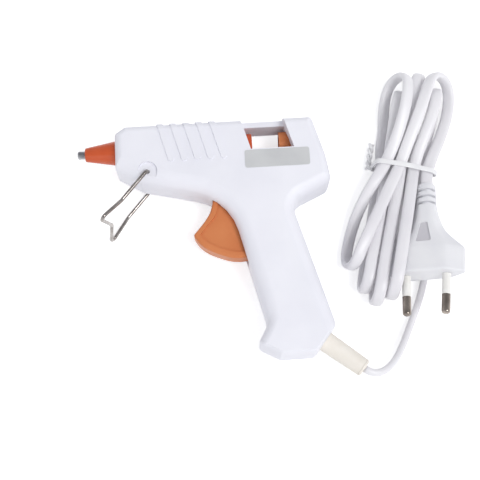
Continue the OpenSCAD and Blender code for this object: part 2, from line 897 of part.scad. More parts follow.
module trigger() {
    color("coral")
        lay()
            difference() {
                union() {
                    difference() {
                        pillow(TRIGGER, trigger_t / 2, 1.4, 3);
                        side_panel();
                    }
                    rod_z(pivot, hub_r, -trigger_t / 2, trigger_t / 2);
                    lever_arm_shape();
                    translate([8, spring_y, 0])
                        rod_x(spring_nub_r, 0, spring_front - 8 + spring_nub);
                }
                rod_z(pivot, pivot_r + run_gap, -trigger_t, trigger_t);
                rod_z(lever_tip, feed_pin_r + run_gap, -trigger_t, trigger_t);
            }
}

module trigger_pin() {
    color("silver")
        lay()
            rod_z(pivot, pivot_r, -pivot_pin_half, pivot_pin_half);
}

module feed_pin() {
    color("silver")
        lay()
            rod_z(lever_tip, feed_pin_r, seat_gap - lug_half, lug_half - seat_gap);
}

module feed_collar() {
    arm_half = lever_t / 2 + slot_gap;
    color("coral")
        lay()
            difference() {
                union() {
                    rod_x(collar_r, collar_front, collar_front + collar_len);
                    slab([lug_front, lug_low, -lug_half], [lug_rear, lug_top, lug_half]);
                    slab([collar_front, lug_top - cut, -lug_half / 2], [lug_rear, 0, lug_half / 2]);
                    slab(
                        [flange_front, flange_y - flange_half, -flange_z],
                        [flange_rear, flange_y + flange_half, flange_z]
                    );
                }
                rod_x(bore_r, collar_front - cut, collar_front + collar_len + cut);
                slab(
                    [lug_front - cut, lug_low - cut, -arm_half],
                    [lug_slot_rear, lug_top + cut, arm_half]
                );
                slab(
                    [lever_tip[0] - feed_pin_r - slot_gap, pin_slot_low, -lug_half - cut],
                    [lever_tip[0] + feed_pin_r + slot_gap, pin_slot_top, lug_half + cut]
                );
                slab(
                    [lug_rear, flange_y - cut - flange_half, -lug_half],
                    [flange_rear + cut, flange_y + 2, lug_half]
                );
            }
}

// One ring of a tube: its centre, two directions across the tube, and the half sizes along them
function ring(c, u, v, a, b, sides) = [
    for (k = [0 : sides - 1])
        c + a * cos(360 * k / sides) * u + b * sin(360 * k / sides) * v
];

module trigger_spring() {
    rings = 8;
    sides = 6;
    run = spring_rear - spring_front - 2 * spring_wire;
    total = spring_turns * rings;
    color("silver")
        lay()
            translate([spring_front + spring_wire, spring_y, 0])
                tube([
                    for (k = [0 : total])
                        let (
                            a = 360 * k / rings,
                            out = [0, cos(a), sin(a)],
                            mid = [run * k / total, 0, 0] + spring_r * out
                        )
                        ring(mid, out, [-1, 0, 0], spring_wire, spring_wire, sides)
                ]);
}

// Stand: one bent wire, with a turned pivot at each end

// Points of an open path in the plane, with an arc at each inner corner
function bent(path, steps) = [
    for (i = [0 : len(path) - 1])
        let (inner = i > 0 && i < len(path) - 1)
        if (!inner)
            flat(path[i])
        else
            let (
                d = heading(path, i - 1),
                t = turn_at(path, i),
                from = flat(path[i]) - path[i][2] * tan(abs(t) / 2) * d,
                centre = from + sign(t) * path[i][2] * left(d)
            )
            for (k = [0 : steps])
                centre + turned(from - centre, t * k / steps)
];

// Direction of a path at one of its points
function along_path(path, i) = unit(path[min(i + 1, len(path) - 1)] - path[max(i - 1, 0)]);

module stand() {
    path = stand_path;
    color("lightgray")
        lay()
            translate([stand_pivot[0], stand_pivot[1], 0])
                rotate(stand_angle) {
                    tube([
                        for (i = [0 : len(path) - 1])
                            let (p = path[i], side = left(along_path(path, i)))
                            ring([p[0], 0, p[1]], [side[0], 0, side[1]], [0, -1, 0], wire_r, wire_r, 10)
                    ]);
                    for (z = [stand_inner, -stand_pocket_z - pivot_over])
                        rod_z([0, 0], stand_pin_r, z, z + stand_pocket_z + pivot_over - stand_inner);
                }
}

// Cord outlet

module on_boot() {
    translate([facet_mid[0], facet_mid[1], 0])
        rotate(boot_angle)
            children();
}

module strain_relief() {
    color("linen")
        lay()
            on_boot()
                turned_piece([
                    [0, boot_inner],
                    [boot_flange_r, boot_inner],
                    [boot_flange_r, -wall - seat_gap],
                    [boot_r, -wall - seat_gap],
                    [boot_r, 0],
                    [boot_tip_r, boot_len - boot_chamfer],
                    [boot_tip_r - boot_chamfer, boot_len],
                    [0, boot_len]
                ]);
}

// Flat twin flex inside the handle, on edge
module inner_cord() {
    core_z = (flex_w - flex_t) / 2;
    color("white")
        lay()
            on_boot() {
                for (z = [-core_z, core_z])
                    translate([0, 0, z])
                        rod_x(flex_t / 2, inner_end, boot_inner);
                slab([inner_end, -flex_t / 2, -core_z], [boot_inner, flex_t / 2, core_z]);
            }
}

module cord_grip() {
    low = flex_w / 2 + seat_gap;
    color("whitesmoke")
        lay()
            on_boot()
                difference() {
                    slab(
                        [grip_at - grip_len / 2, -grip_span / 2, low],
                        [grip_at + grip_len / 2, grip_span / 2, low + grip_t]
                    );
                    for (side = [-1, 1])
                        rod_z([grip_at, side * grip_screw], grip_hole_r, low - cut, low + grip_t + cut);
                }
}

module cord_grip_screws() {
    seat = flex_w / 2 + seat_gap + grip_t;
    color("silver")
        lay()
            on_boot()
                for (side = [-1, 1]) {
                    rod_z([grip_at, side * grip_screw], grip_screw_r, seat - grip_screw_len, seat);
                    rod_z([grip_at, side * grip_screw], grip_head_r, seat, seat + grip_head_h);
                }
}

// Path through points, with more points along a smooth curve between each two
function between(p, i, x) =
    let (
        a = p[max(i - 1, 0)],
        b = p[i],
        c = p[i + 1],
        d = p[min(i + 2, len(p) - 1)]
    )
    (2 * b + x * (c - a) + x * x * (2 * a - 5 * b + 4 * c - d) + x * x * x * (3 * b - a - 3 * c + d)) / 2;
function spline(p, steps) = concat(
    [for (i = [0 : len(p) - 2]) for (k = [0 : steps - 1]) between(p, i, k / steps)],
    [p[len(p) - 1]]
);

// Wire along a route, mirrored for the other conductor
module wire(side, y) {
    core = facet_mid + (inner_end - slide_gap) * boot_dir;
    start = [core[0], core[1], (flex_w - flex_t) / 2];
    bare = start - 2 * core_r * [boot_dir[0], boot_dir[1], 0];
    end = [terminal_rear + slide_gap, y, tab_z];
    route = concat([start, bare], WIRE, [end + [1.2, 0, 0], end]);
    path = [for (p = spline(route, 2)) [p[0], p[1], side * p[2]]];
    tube([
        for (i = [0 : len(path) - 1])
            let (
                t = along_path(path, i),
                u = unit(cross(t, [0.3, 0.1, 1]))
            )
            ring(path[i], u, cross(t, u), core_r, core_r, 6)
    ]);
}

tab_low_y = plate_low + plate_t / 2;
tab_top_y = plate_top - plate_t / 2;

module wire_live() {
    color("sienna")
        lay()
            wire(1, tab_top_y);
}

module wire_neutral() {
    color("royalblue")
        lay()
            wire(-1, tab_low_y);
}

module wire_terminals() {
    color("silver")
        lay()
            for (t = [[tab_top_y, tab_z], [tab_low_y, -tab_z]])
                translate([0, t[0], t[1]])
                    rod_x(terminal_r, terminal_front, terminal_rear);
}

// Cord outside the gun. Its points are given sideways, along the hank and in height.

function placed(p) = [hank_at[0], hank_at[1], 0] + p[0] * across + p[1] * along + p[2] * up;
function laid(p) = [
    p[0] * cos(lay_tilt) + p[2] * sin(lay_tilt) - row_x,
    p[1] - row_y,
    p[2] * cos(lay_tilt) - p[0] * sin(lay_tilt) + rest_h
];

// Sections of the flex along a path, with its flat side rolled about the path
function flex_rings(path, rolls, sides) = [
    for (i = [0 : len(path) - 1])
        let (
            t = along_path(path, i),
            w = cos(rolls[i]) * across + sin(rolls[i]) * up,
            u = unit(w - (w * t) * t)
        )
        ring(path[i], u, cross(t, u), flex_w / 2, flex_t / 2, sides)
];

module free_flex(points) {
    path = [for (p = points) [p[0], p[1], p[2]]];
    color("white")
        tube(flex_rings(path, [for (p = points) p[3]], 8));
}

function with_roll(p, roll) = [p[0], p[1], p[2], roll];
function free_points(list) = [for (p = list) with_roll(placed(p), p[3])];

module cord_lead() {
    gland = laid([boot_end[0], boot_end[1], 0]);
    out = laid([boot_end[0] + flex_t * boot_dir[0], boot_end[1] + flex_t * boot_dir[1], 0]);
    start = [with_roll(gland, 90), with_roll(out, 90)];
    join = with_roll(placed([hank_from[1], hank_from[0] - 2 * slide_gap, hank_from[2]]), 0);
    points = concat(start, free_points(LEAD), [join]);
    last = len(points) - 2;
    smooth = spline([for (i = [1 : last]) points[i]], 2);
    free_flex(concat([points[0]], smooth, [join]));
}

module cord_tail() {
    join = with_roll(placed([hank_to[1], hank_to[0] + slide_gap, hank_to[2]]), 0);
    back = placed(plug_neck - flex_w * unit(plug_way));
    neck = placed(plug_neck);
    free_flex(concat([join], free_points(TAIL), [with_roll(back, 0), with_roll(neck, 0)]));
}

// Hank: runs through the tie and folds at both ends, all from one rule

function ease(x) = x * x * (3 - 2 * x);
function on_leg(end, x, b, z) = [b + (end[1] - b) * ease(x), end[0] * x, z + (end[2] - z) * sin(90 * x)];
function run(from, to, b, z, fine) = concat(
    [for (k = [0 : 2 * fine - 1]) on_leg(from, 1 - k / (2 * fine), b, z)],
    [for (k = [0 : 3 * fine - 1]) on_leg(to, k / (3 * fine), b, z)]
);
function fold(from, to, way, fine) =
    let (n = (loop_rings / 2 - 5) * fine)
    [
        for (k = [0 : n - 1])
            let (
                a = 180 * k / n,
                mid = from + (to - from) * (1 - cos(a)) / 2,
                r = abs(to[2] - from[2]) / 2
            )
            [mid[1], from[0] + way * r * sin(a), mid[2]]
    ];
function low_leg(f) = [f[0], f[1], flex_rest];
function high_leg(f) = [f[0], f[2], f[3]];
function loop(j, fine) =
    let (
        b = hank_first - hank_pitch * j,
        from = j == 0 ? hank_from : low_leg(FOOT_FOLDS[j - 1]),
        top = TOP_FOLDS[j],
        foot = FOOT_FOLDS[j]
    )
    concat(
        run(from, low_leg(top), b, hank_low, fine),
        fold(low_leg(top), high_leg(top), 1, fine),
        run(high_leg(top), high_leg(foot), b - hank_pitch / 2, hank_high, fine),
        fold(high_leg(foot), low_leg(foot), -1, fine)
    );
function hank_path(fine) =
    let (n = len(TOP_FOLDS))
    [
        for (p = concat(
            [for (j = [0 : n - 1]) for (q = loop(j, fine)) q],
            run(low_leg(FOOT_FOLDS[n - 1]), hank_to, hank_first - hank_pitch * n, hank_low, fine),
            [[hank_to[1], hank_to[0], hank_to[2]]]
        ))
            placed(p)
    ];

// Least gap between lengths of the hank that lie a fold or more apart, measured on its points
function reach(n, u, v) = norm([flex_w / 2 * (n * u), flex_t / 2 * (n * v)]);
function least_gap(path, apart) =
    let (
        side = [
            for (i = [0 : len(path) - 1])
                let (t = along_path(path, i))
                unit(across - (across * t) * t)
        ]
    )
    min([
        for (i = [0 : len(path) - 1 - apart])
            for (j = [i + apart : len(path) - 1])
                let (d = path[j] - path[i])
                if (norm(d) < 2 * flex_w)
                    let (
                        n = unit(d),
                        v = cross(along_path(path, i), side[i]),
                        w = cross(along_path(path, j), side[j])
                    )
                    norm(d) - reach(n, side[i], v) - reach(n, side[j], w)
    ]);

module cord_hank() {
    path = hank_path(1);
    fine = 3;
    echo(hank_least_gap_mm = least_gap(hank_path(fine), 7 * fine));
    color("white")
        tube(flex_rings(path, [for (p = path) 0], 6));
}

// Axes of a piece in the part's frame: two given, the third square to both
module framed(origin, x, y) {
    z = cross(x, y);
    multmatrix([
        [x[0], y[0], z[0], origin[0]],
        [x[1], y[1], z[1], origin[1]],
        [x[2], y[2], z[2], origin[2]],
        [0, 0, 0, 1]
    ])
        children();
}

module cord_tie() {
    color("white")
        framed(placed([0, 0, 0]), across, up) {
            translate([0, 0, -tie_w / 2])
                linear_extrude(tie_w)
                    difference() {
                        polygon(rounded(inset(TIE, 0, -tie_t), 4));
                        polygon(rounded(TIE, 4));
                    }
            for (k = [0, 180])
                twisted_end(k);
        }
}

module twisted_end(phase) {
    rings = 8 * twist_turns;
    mid = [TIE[0][0] - tie_t - twist_r - twist_wire - seat_gap, 3.4];
    tube([
        for (i = [0 : rings])
            let (
                a = phase + 360 * i / 8,
                out = [cos(a), sin(a), 0],
                z = tie_w / 2 - twist_len * i / rings,
                p = [mid[0], mid[1], z] + twist_r * out
            )
            ring(p, out, [sin(a), -cos(a), 0], twist_wire, twist_wire, 6)
    ]);
}

// Plug: x across its pins, y from its face to its neck, z up from its flat side

plug_axis = -unit(plug_way[0] * across + plug_way[1] * along + plug_way[2] * up);
plug_right = cos(plug_roll) * across + sin(plug_roll) * up;

module on_plug() {
    x = unit(plug_right - (plug_right * plug_axis) * plug_axis);
    framed(placed(plug_neck) - plug_len * plug_axis, x, plug_axis)
        children();
}

function squared(c, power) = sign(c) * pow(abs(c), 2 / power);
function plug_section(s) = [
    for (k = [0 : plug_sides - 1])
        let (a = -360 * k / plug_sides)
        [s[1] * squared(cos(a), s[3]), s[0], s[2] * squared(sin(a), s[3])]
];

module neck_slots() {
    web = 0.9;
    core = 2;
    for (y = NECK_SLOTS)
        for (x = [-1, 1])
            for (z = [-1, 1])
                scale([x, 1, z])
                    slab(
                        [web, y - neck_slot_w / 2, core],
                        [2 * neck_half, y + neck_slot_w / 2, 2 * neck_half]
                    );
}

module side_recess() {
    translate([0, panel_mid, 5.3])
        rotate([-panel_slope, 0, 0])
            translate([-panel_w / 2, -panel_len / 2, 0])
                cube([panel_w, panel_len, plug_t]);
}

module pin_rod(side, r, from, to) {
    translate([side * plug_pitch / 2, 0, 0])
        rotate([90, 0, -side * pin_toe_in])
            translate([0, 0, from])
                cylinder(r = r, h = to - from);
}

module plug_body() {
    color("white")
        on_plug()
            difference() {
                tube([for (s = PLUG) plug_section(s)]);
                neck_slots();
                side_recess();
                for (side = [-1, 1])
                    pin_rod(side, core_pin_r + run_gap, -pin_root - seat_gap, cut);
            }
}

module plug_pins() {
    round_off = 0.7;
    color("silver")
        on_plug()
            for (side = [-1, 1]) {
                pin_rod(side, core_pin_r, -pin_root, sleeve_len);
                pin_rod(side, plug_pin_r, sleeve_len, plug_pin_len - round_off);
                pin_rod(side, plug_pin_r - round_off / 2, plug_pin_len - round_off, plug_pin_len);
            }
}

module plug_pin_sleeves() {
    color("white")
        on_plug()
            for (side = [-1, 1])
                difference() {
                    pin_rod(side, plug_pin_r, seat_gap, sleeve_len - seat_gap);
                    pin_rod(side, core_pin_r + run_gap, -cut, sleeve_len + cut);
                }
}

housing_left();
housing_right();
housing_screws();
nozzle_tip();
nozzle_cover();
melt_chamber();
heater_element();
heater_contacts();
heater_insulation();
inlet_sleeve();
sleeve_clamp();
trigger();
trigger_pin();
trigger_spring();
feed_collar();
feed_pin();
stand();
strain_relief();
inner_cord();
cord_grip();
cord_grip_screws();
wire_live();
wire_neutral();
wire_terminals();
cord_lead();
cord_hank();
cord_tail();
cord_tie();
plug_body();
plug_pins();
plug_pin_sleeves();
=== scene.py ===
# %% [markdown]
# # A mini hot glue gun with its cord tied in a hank
# The CAD solids give every size and every joint. This file dresses them: it sets up the camera
# and the light, lays the flex, rounds the mouldings and gives each piece its finish. Lengths in
# the lists below are in millimetres, as in the CAD source, and are turned into metres where a
# mesh is made. The camera, the floor and the lamps are placed in metres.

# %% Load the solids
import json
import math

import bpy
from mathutils import Matrix, Vector
from mathutils.geometry import intersect_point_line

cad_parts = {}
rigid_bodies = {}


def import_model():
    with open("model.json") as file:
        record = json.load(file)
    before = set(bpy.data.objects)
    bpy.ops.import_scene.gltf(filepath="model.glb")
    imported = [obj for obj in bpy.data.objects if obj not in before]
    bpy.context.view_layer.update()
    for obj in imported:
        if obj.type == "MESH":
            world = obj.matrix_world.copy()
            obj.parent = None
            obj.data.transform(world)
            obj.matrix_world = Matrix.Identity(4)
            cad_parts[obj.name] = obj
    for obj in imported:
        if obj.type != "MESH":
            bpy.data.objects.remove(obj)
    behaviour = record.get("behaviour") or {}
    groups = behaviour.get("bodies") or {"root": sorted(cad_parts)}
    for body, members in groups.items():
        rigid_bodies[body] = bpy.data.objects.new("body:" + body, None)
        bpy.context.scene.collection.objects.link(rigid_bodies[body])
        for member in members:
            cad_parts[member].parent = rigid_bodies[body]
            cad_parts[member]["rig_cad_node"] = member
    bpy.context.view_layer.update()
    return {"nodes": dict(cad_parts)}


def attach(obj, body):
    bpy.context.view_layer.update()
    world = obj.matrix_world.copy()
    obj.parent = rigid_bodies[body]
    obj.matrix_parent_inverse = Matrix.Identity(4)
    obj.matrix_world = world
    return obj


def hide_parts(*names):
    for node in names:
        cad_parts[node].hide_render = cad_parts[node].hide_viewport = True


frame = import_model()
nodes = frame["nodes"]
bpy.ops.object.select_all(action="DESELECT")
MM = 0.001

# %% [markdown]
# ## Camera
# The photograph was taken from above, a little below the handle, with a long lens. The camera's
# place was worked out from the known sizes of the plug and the barrel, so the gun, the hank and
# the plug all fall where the photograph has them. A 72 mm lens on a 36 mm sensor gives the
# narrow, calm perspective.

# %% Place the camera
CAMERA_AT = (0.03015, -0.11425, 0.44492)
VIEW_RIGHT = Vector((0.9961, -0.0610, -0.0635)).normalized()
VIEW_BACK = Vector((0.0451, -0.2667, 0.9627)).normalized()
LENS, SENSOR, NEAREST = 72, 36, 0.01
bpy.ops.object.camera_add(location=CAMERA_AT)
camera = bpy.context.object
camera.name = "photo_camera"
camera.data.lens = LENS
camera.data.sensor_width = SENSOR
camera.data.clip_start = NEAREST
turn = Matrix((VIEW_RIGHT, VIEW_BACK.cross(VIEW_RIGHT), VIEW_BACK)).transposed()
camera.rotation_euler = turn.to_euler()
bpy.context.scene.camera = camera
print("camera looks down", round(math.degrees(math.asin(VIEW_BACK.z)), 1), "degrees")

# %% [markdown]
# ## Floor and light
# The object lies on a plain white table. The floor is a real pale surface that keeps a soft
# shadow, and it shines a little for the camera and for mirror-like metal only, so that it reads
# as white without any more light on the gun. One large soft lamp stands far off on the right,
# so that the gun and the hank get the same light and shade falls to the left. A much weaker one
# shines in from the front left. The room has light walls and a darker ceiling, which gives
# round metal a dark middle and bright flanks.

# %% Make the floor
FLOOR_SIZE, FLOOR_AT = 6, -0.0002
FLOOR_GREY, FLOOR_ROUGH, FLOOR_LIFT = 0.88, 0.9, 0.5
bpy.ops.mesh.primitive_plane_add(size=FLOOR_SIZE, location=(0, 0, FLOOR_AT))
table = bpy.context.object
table.name = "table_top"
table_white = bpy.data.materials.new("table_white")
table_white.use_nodes = True
tree = table_white.node_tree
board = tree.nodes["Principled BSDF"]
board.inputs["Base Color"].default_value = (FLOOR_GREY, FLOOR_GREY, FLOOR_GREY, 1)
board.inputs["Roughness"].default_value = FLOOR_ROUGH
ray = tree.nodes.new("ShaderNodeLightPath")
seen = tree.nodes.new("ShaderNodeMath")
seen.operation = "MAXIMUM"
tree.links.new(ray.outputs["Is Camera Ray"], seen.inputs[0])
tree.links.new(ray.outputs["Is Glossy Ray"], seen.inputs[1])
lift = tree.nodes.new("ShaderNodeMath")
lift.operation = "MULTIPLY"
lift.inputs[1].default_value = FLOOR_LIFT
tree.links.new(seen.outputs[0], lift.inputs[0])
board.inputs["Emission Color"].default_value = (1, 1, 1, 1)
tree.links.new(lift.outputs[0], board.inputs["Emission Strength"])
table.data.materials.append(table_white)
print("floor at", round(table.location.z / MM, 2), "mm")

# %% Hang the lamps
# Place, the point that it shines at, size in metres and power in watts
LAMPS = {
    "key_lamp": ((0.9, -0.55, 1.8), (0.02, 0, 0), 0.8, 20),
    "fill_lamp": ((-0.6, -0.8, 0.7), (0.03, 0, 0), 0.7, 1),
}
ROOM_TINT, WALL_LIGHT, CEILING_LIGHT = (0.95, 0.96, 1, 1), 0.98, 0.4
for name, (place, target, size, power) in LAMPS.items():
    bpy.ops.object.light_add(type="AREA", location=place)
    lamp = bpy.context.object
    lamp.name = name
    lamp.data.size = size
    lamp.data.energy = power
    way = Vector(target) - Vector(place)
    lamp.rotation_euler = way.to_track_quat("-Z", "Y").to_euler()
bpy.context.scene.view_settings.view_transform = "Standard"
world = bpy.data.worlds.new("studio")
bpy.context.scene.world = world
world.use_nodes = True
tree = world.node_tree
sky = tree.nodes["Background"]
sky.inputs["Color"].default_value = ROOM_TINT
way_out = tree.nodes.new("ShaderNodeTexCoord")
height = tree.nodes.new("ShaderNodeSeparateXYZ")
walls = tree.nodes.new("ShaderNodeMapRange")
walls.inputs["To Min"].default_value = WALL_LIGHT
walls.inputs["To Max"].default_value = CEILING_LIGHT
tree.links.new(way_out.outputs["Generated"], height.inputs[0])
tree.links.new(height.outputs["Z"], walls.inputs["Value"])
tree.links.new(walls.outputs["Result"], sky.inputs["Strength"])

# %% [markdown]
# ## The flex
# A light twin flex has a flat oval sheath, so it shows a broad side and a narrow edge, and it
# rolls as it bends. It leaves the strain relief on edge, comes round to the hank, runs through
# the tie and folds at both ends, and its last loops lie loose on top before it reaches the
# plug. A curve with a bevel could not be told how to roll at each point, so the tube is made as
# rings of points along the route.

# %% Points of the route, as in the CAD source
HANK_AT = Vector((88.5, 36, 0))
HANK_LEAN = math.radians(14)
ACROSS = Vector((math.cos(HANK_LEAN), -math.sin(HANK_LEAN), 0))
ALONG = Vector((math.sin(HANK_LEAN), math.cos(HANK_LEAN), 0))
UP = Vector((0, 0, 1))
FLEX_W, FLEX_T, FLEX_REST = 5.6, 3.4, 1.8
HANK_FIRST, HANK_PITCH, HANK_LOW, HANK_HIGH = 9.2, 6.2, 3.3, 7.2
# Folds: place along the hank, sideways place of the lower and the upper leg, upper leg's height
TOP_FOLDS = [(35.5, 11.6, 11.2, 14.2), (42.6, 3.6, 1, 13.6), (33, -4.4, -6.6, 12.4)]
FOOT_FOLDS = [(-53.8, 3.2, 5.4, 20.4), (-59.5, -3, -1.2, 16.6), (-55.6, -9.2, -7.1, 14.2)]
HANK_FROM, HANK_TO = (-20, 12.4, FLEX_REST), (14, -10.8, FLEX_REST)
# Free lengths: sideways, along the hank, height, and roll of the flat side in degrees
LEAD = [
    (4.4, -98.4, 10.6, 90), (8.8, -94, 8, 90), (12.2, -86, 4.8, 90), (14.8, -75, 3, 90),
    (17, -64, 3, 90), (18.4, -53, 3, 90), (18.2, -43, 3, 80), (15.6, -33, 2.5, 35),
    (12.4, -26, 1.8, 0),
]
TAIL = [
    (-10.8, 20, 1.9, 0), (-12, 28, 3, -14), (-12.3, 37, 4.6, -34), (-10.8, 43.1, 6.7, -35),
    (-7.3, 45.6, 11.6, -35), (-3.9, 43.1, 16.6, -35), (-2.7, 37, 18.7, -28), (-2.7, 27, 18.3, -20),
    (-3.9, 16, 15.8, -10), (-5.8, 7, 13.1, 0), (-8, -1, 11.9, 0), (-11, -8.5, 12, -4),
    (-14.4, -17, 9.4, -10), (-17.3, -27, 5.8, -18), (-18.7, -37, 4, -25), (-18.9, -45.5, 3.8, -26),
    (-18, -50.2, 5.5, -26), (-15.9, -52.2, 9.8, -25), (-13.9, -50.2, 14.1, -22),
    (-12.9, -45.5, 16, -16), (-10.8, -37.5, 17, -10), (-6.5, -21.5, 16.2, 0), (-3.6, -10, 13.9, 0),
    (-0.9, 0, 11.8, 0), (0.6, 8, 13.9, 0), (2.5, 17, 16.1, 0), (4.6, 28, 18, 5),
    (6.4, 39.5, 18.4, 25), (8.1, 45.9, 16.3, 39), (12.3, 48.5, 11.4, 40), (16.5, 45.9, 6.5, 39),
    (18.2, 39.5, 4.6, 25), (18.2, 30, 4.2, 10), (16.4, 19, 5, 0), (13.6, 7, 7.6, 0),
]
GLAND = Vector((61.93, -58.26, 12.22))
GLAND_WAY = Vector((0.7761, -0.6287, -0.0495))
PLUG_NECK = Vector((13.2, -7.3, 9.5))
PLUG_WAY = Vector((5, -44.4, 6)).normalized()


def placed(b, s, z):
    """A point beside, along and above the middle of the hank, in the frame of the part."""
    return HANK_AT + b * ACROSS + s * ALONG + z * UP


print("hank lies at", tuple(round(value) for value in HANK_AT))

# %% The hank's own rule: runs through the tie, and folds
LEG_IN, LEG_OUT, FOLD_STEPS = 8, 12, 28


def on_leg(end, x, b, z):
    """A point of a run, from the tie at x = 0 to the end of the leg at x = 1."""
    ease = x * x * (3 - 2 * x)
    return b + (end[1] - b) * ease, end[0] * x, z + (end[2] - z) * math.sin(math.pi / 2 * x)


def run(start, end, b, z):
    """Points from the start of one leg through the tie to the end of the next."""
    inward = [on_leg(start, 1 - k / LEG_IN, b, z) for k in range(LEG_IN)]
    return inward + [on_leg(end, k / LEG_OUT, b, z) for k in range(LEG_OUT)]


def fold(start, end, way):
    """Points of a half turn from one leg to the leg above or below it."""
    points = []
    for k in range(FOLD_STEPS):
        a = math.pi * k / FOLD_STEPS
        share = (1 - math.cos(a)) / 2
        b = start[1] + (end[1] - start[1]) * share
        z = start[2] + (end[2] - start[2]) * share
        points.append((b, start[0] + way * abs(end[2] - start[2]) / 2 * math.sin(a), z))
    return points


def hank():
    """Points of the whole hank, with no roll, in the frame of the part."""
    points, start = [], HANK_FROM
    for j, (top, foot) in enumerate(zip(TOP_FOLDS, FOOT_FOLDS)):
        b = HANK_FIRST - HANK_PITCH * j
        top_low, top_high = (top[0], top[1], FLEX_REST), (top[0], top[2], top[3])
        foot_low, foot_high = (foot[0], foot[1], FLEX_REST), (foot[0], foot[2], foot[3])
        points += run(start, top_low, b, HANK_LOW)
        points += fold(top_low, top_high, 1)
        points += run(top_high, foot_high, b - HANK_PITCH / 2, HANK_HIGH)
        points += fold(foot_high, foot_low, -1)
        start = foot_low
    points += run(start, HANK_TO, HANK_FIRST - len(TOP_FOLDS) * HANK_PITCH, HANK_LOW)
    return [(*placed(*p), 0) for p in points]


print("points in the hank:", len(hank()))

# %% Join lead, hank and tail into one smooth route
LEAD_STEPS, TAIL_STEPS, ROUTE_PITCH, EASE_ROUNDS = 6, 5, 1.5, 4


def smoothed(points, steps):
    """More points on a smooth curve through the given ones. A fourth number is carried along."""
    found = []
    for i in range(len(points) - 1):
        before, after = points[max(i - 1, 0)], points[min(i + 2, len(points) - 1)]
        for k in range(steps):
            x = k / steps
            found.append([
                b + x / 2 * (c - a + x * (2 * a - 5 * b + 4 * c - d + x * (3 * (b - c) + d - a)))
                for a, b, c, d in zip(before, points[i], points[i + 1], after)
            ])
    return found


hank_points = hank()
lead = [(*GLAND, 90), (*(GLAND + FLEX_T * GLAND_WAY), 90)]
lead += [(*placed(*p[:3]), p[3]) for p in LEAD] + [hank_points[0], hank_points[1]]
neck = PLUG_NECK - FLEX_W * PLUG_WAY
hank_end = placed(HANK_TO[1], HANK_TO[0], HANK_TO[2])
tail = [hank_points[-1], (*hank_end, 0)] + [(*placed(*p[:3]), p[3]) for p in TAIL]
tail += [(*placed(*neck), 0), (*placed(*PLUG_NECK), 0)]
route = smoothed(lead, LEAD_STEPS)[:-LEAD_STEPS] + hank_points[:-1]
route += smoothed(tail, TAIL_STEPS) + [list(tail[-1])]


def evened(points, pitch):
    """Points a fixed distance apart on the same line."""
    found, left = [list(points[0])], pitch
    for p, q in zip(points, points[1:]):
        span = math.dist(p[:3], q[:3])
        at = left
        while at < span:
            found.append([u + (v - u) * at / span for u, v in zip(p, q)])
            at += pitch
        left = at - span
    return found[:-1] + [list(points[-1])]


def eased(points, rounds):
    """The same line with its small kinks worn off. The ends stay."""
    for _ in range(rounds):
        inner = [
            [0.25 * a + 0.5 * b + 0.25 * c for a, b, c in zip(*three)]
            for three in zip(points, points[1:], points[2:])
        ]
        points = [points[0]] + inner + [points[-1]]
    return points


route = eased(evened(route, ROUTE_PITCH), EASE_ROUNDS)

# %% Sweep the flat section along the route
SECTION, FLEX_SQUARENESS = 24, 2.5


def flat_oval(turns, half_w, half_t, squareness):
    """A point of a flat oval section, which has flatter sides than an ellipse."""
    c, s = math.cos(turns * math.tau), math.sin(turns * math.tau)
    power = 2 / squareness
    x = half_w * math.copysign(abs(c) ** power, c)
    return x, half_t * math.copysign(abs(s) ** power, s)


def skin_of(name, rings):
    """A closed mesh over rings of points in millimetres, with its length and turn as a UV map."""
    n = len(rings[0])
    points = [Vector(p) * MM for ring in rings for p in ring]
    faces = [
        (j * n + i, j * n + (i + 1) % n, (j + 1) * n + (i + 1) % n, (j + 1) * n + i)
        for j in range(len(rings) - 1) for i in range(n)
    ]
    faces += [tuple(reversed(range(n))), tuple(range((len(rings) - 1) * n, len(rings) * n))]
    mesh = bpy.data.meshes.new(name)
    mesh.from_pydata(points, [], faces)
    length = [0.0]
    for a, b in zip(rings, rings[1:]):
        length.append(length[-1] + (Vector(b[0]) - Vector(a[0])).length * MM)
    chart = mesh.uv_layers.new(name="length_and_turn")
    for face in mesh.polygons:
        for corner in face.loop_indices:
            j, i = divmod(mesh.loops[corner].vertex_index, n)
            chart.data[corner].uv = (i / n, length[j])
        face.use_smooth = len(face.vertices) == 4
    piece = bpy.data.objects.new(name, mesh)
    bpy.context.scene.collection.objects.link(piece)
    return piece


flex_rings = []
for i, p in enumerate(route):
    here = Vector(p[:3])
    ahead = Vector(route[min(i + 1, len(route) - 1)][:3])
    behind = Vector(route[max(i - 1, 0)][:3])
    way = (ahead - behind).normalized()
    roll = math.radians(p[3])
    wide = math.cos(roll) * ACROSS + math.sin(roll) * UP
    wide = (wide - wide.dot(way) * way).normalized()
    thin = way.cross(wide)
    ring = []
    for k in range(SECTION):
        w, t = flat_oval(k / SECTION, FLEX_W / 2, FLEX_T / 2, FLEX_SQUARENESS)
        ring.append(here + w * wide + t * thin)
    flex_rings.append(ring)
flex = skin_of("flex", flex_rings)
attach(flex, "housing")
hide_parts("cord_lead", "cord_hank", "cord_tail")
print("flex faces:", len(flex.data.polygons))

# %% [markdown]
# ## The twist tie
# The tie is a strip of white plastic with a wire in it. It lies flat round the strands, and its
# two ends are twisted together at the left. A curve gives it: the curve's extrusion is the
# strip's width and its round bevel the thickness. The ends are two wires wound round each
# other.

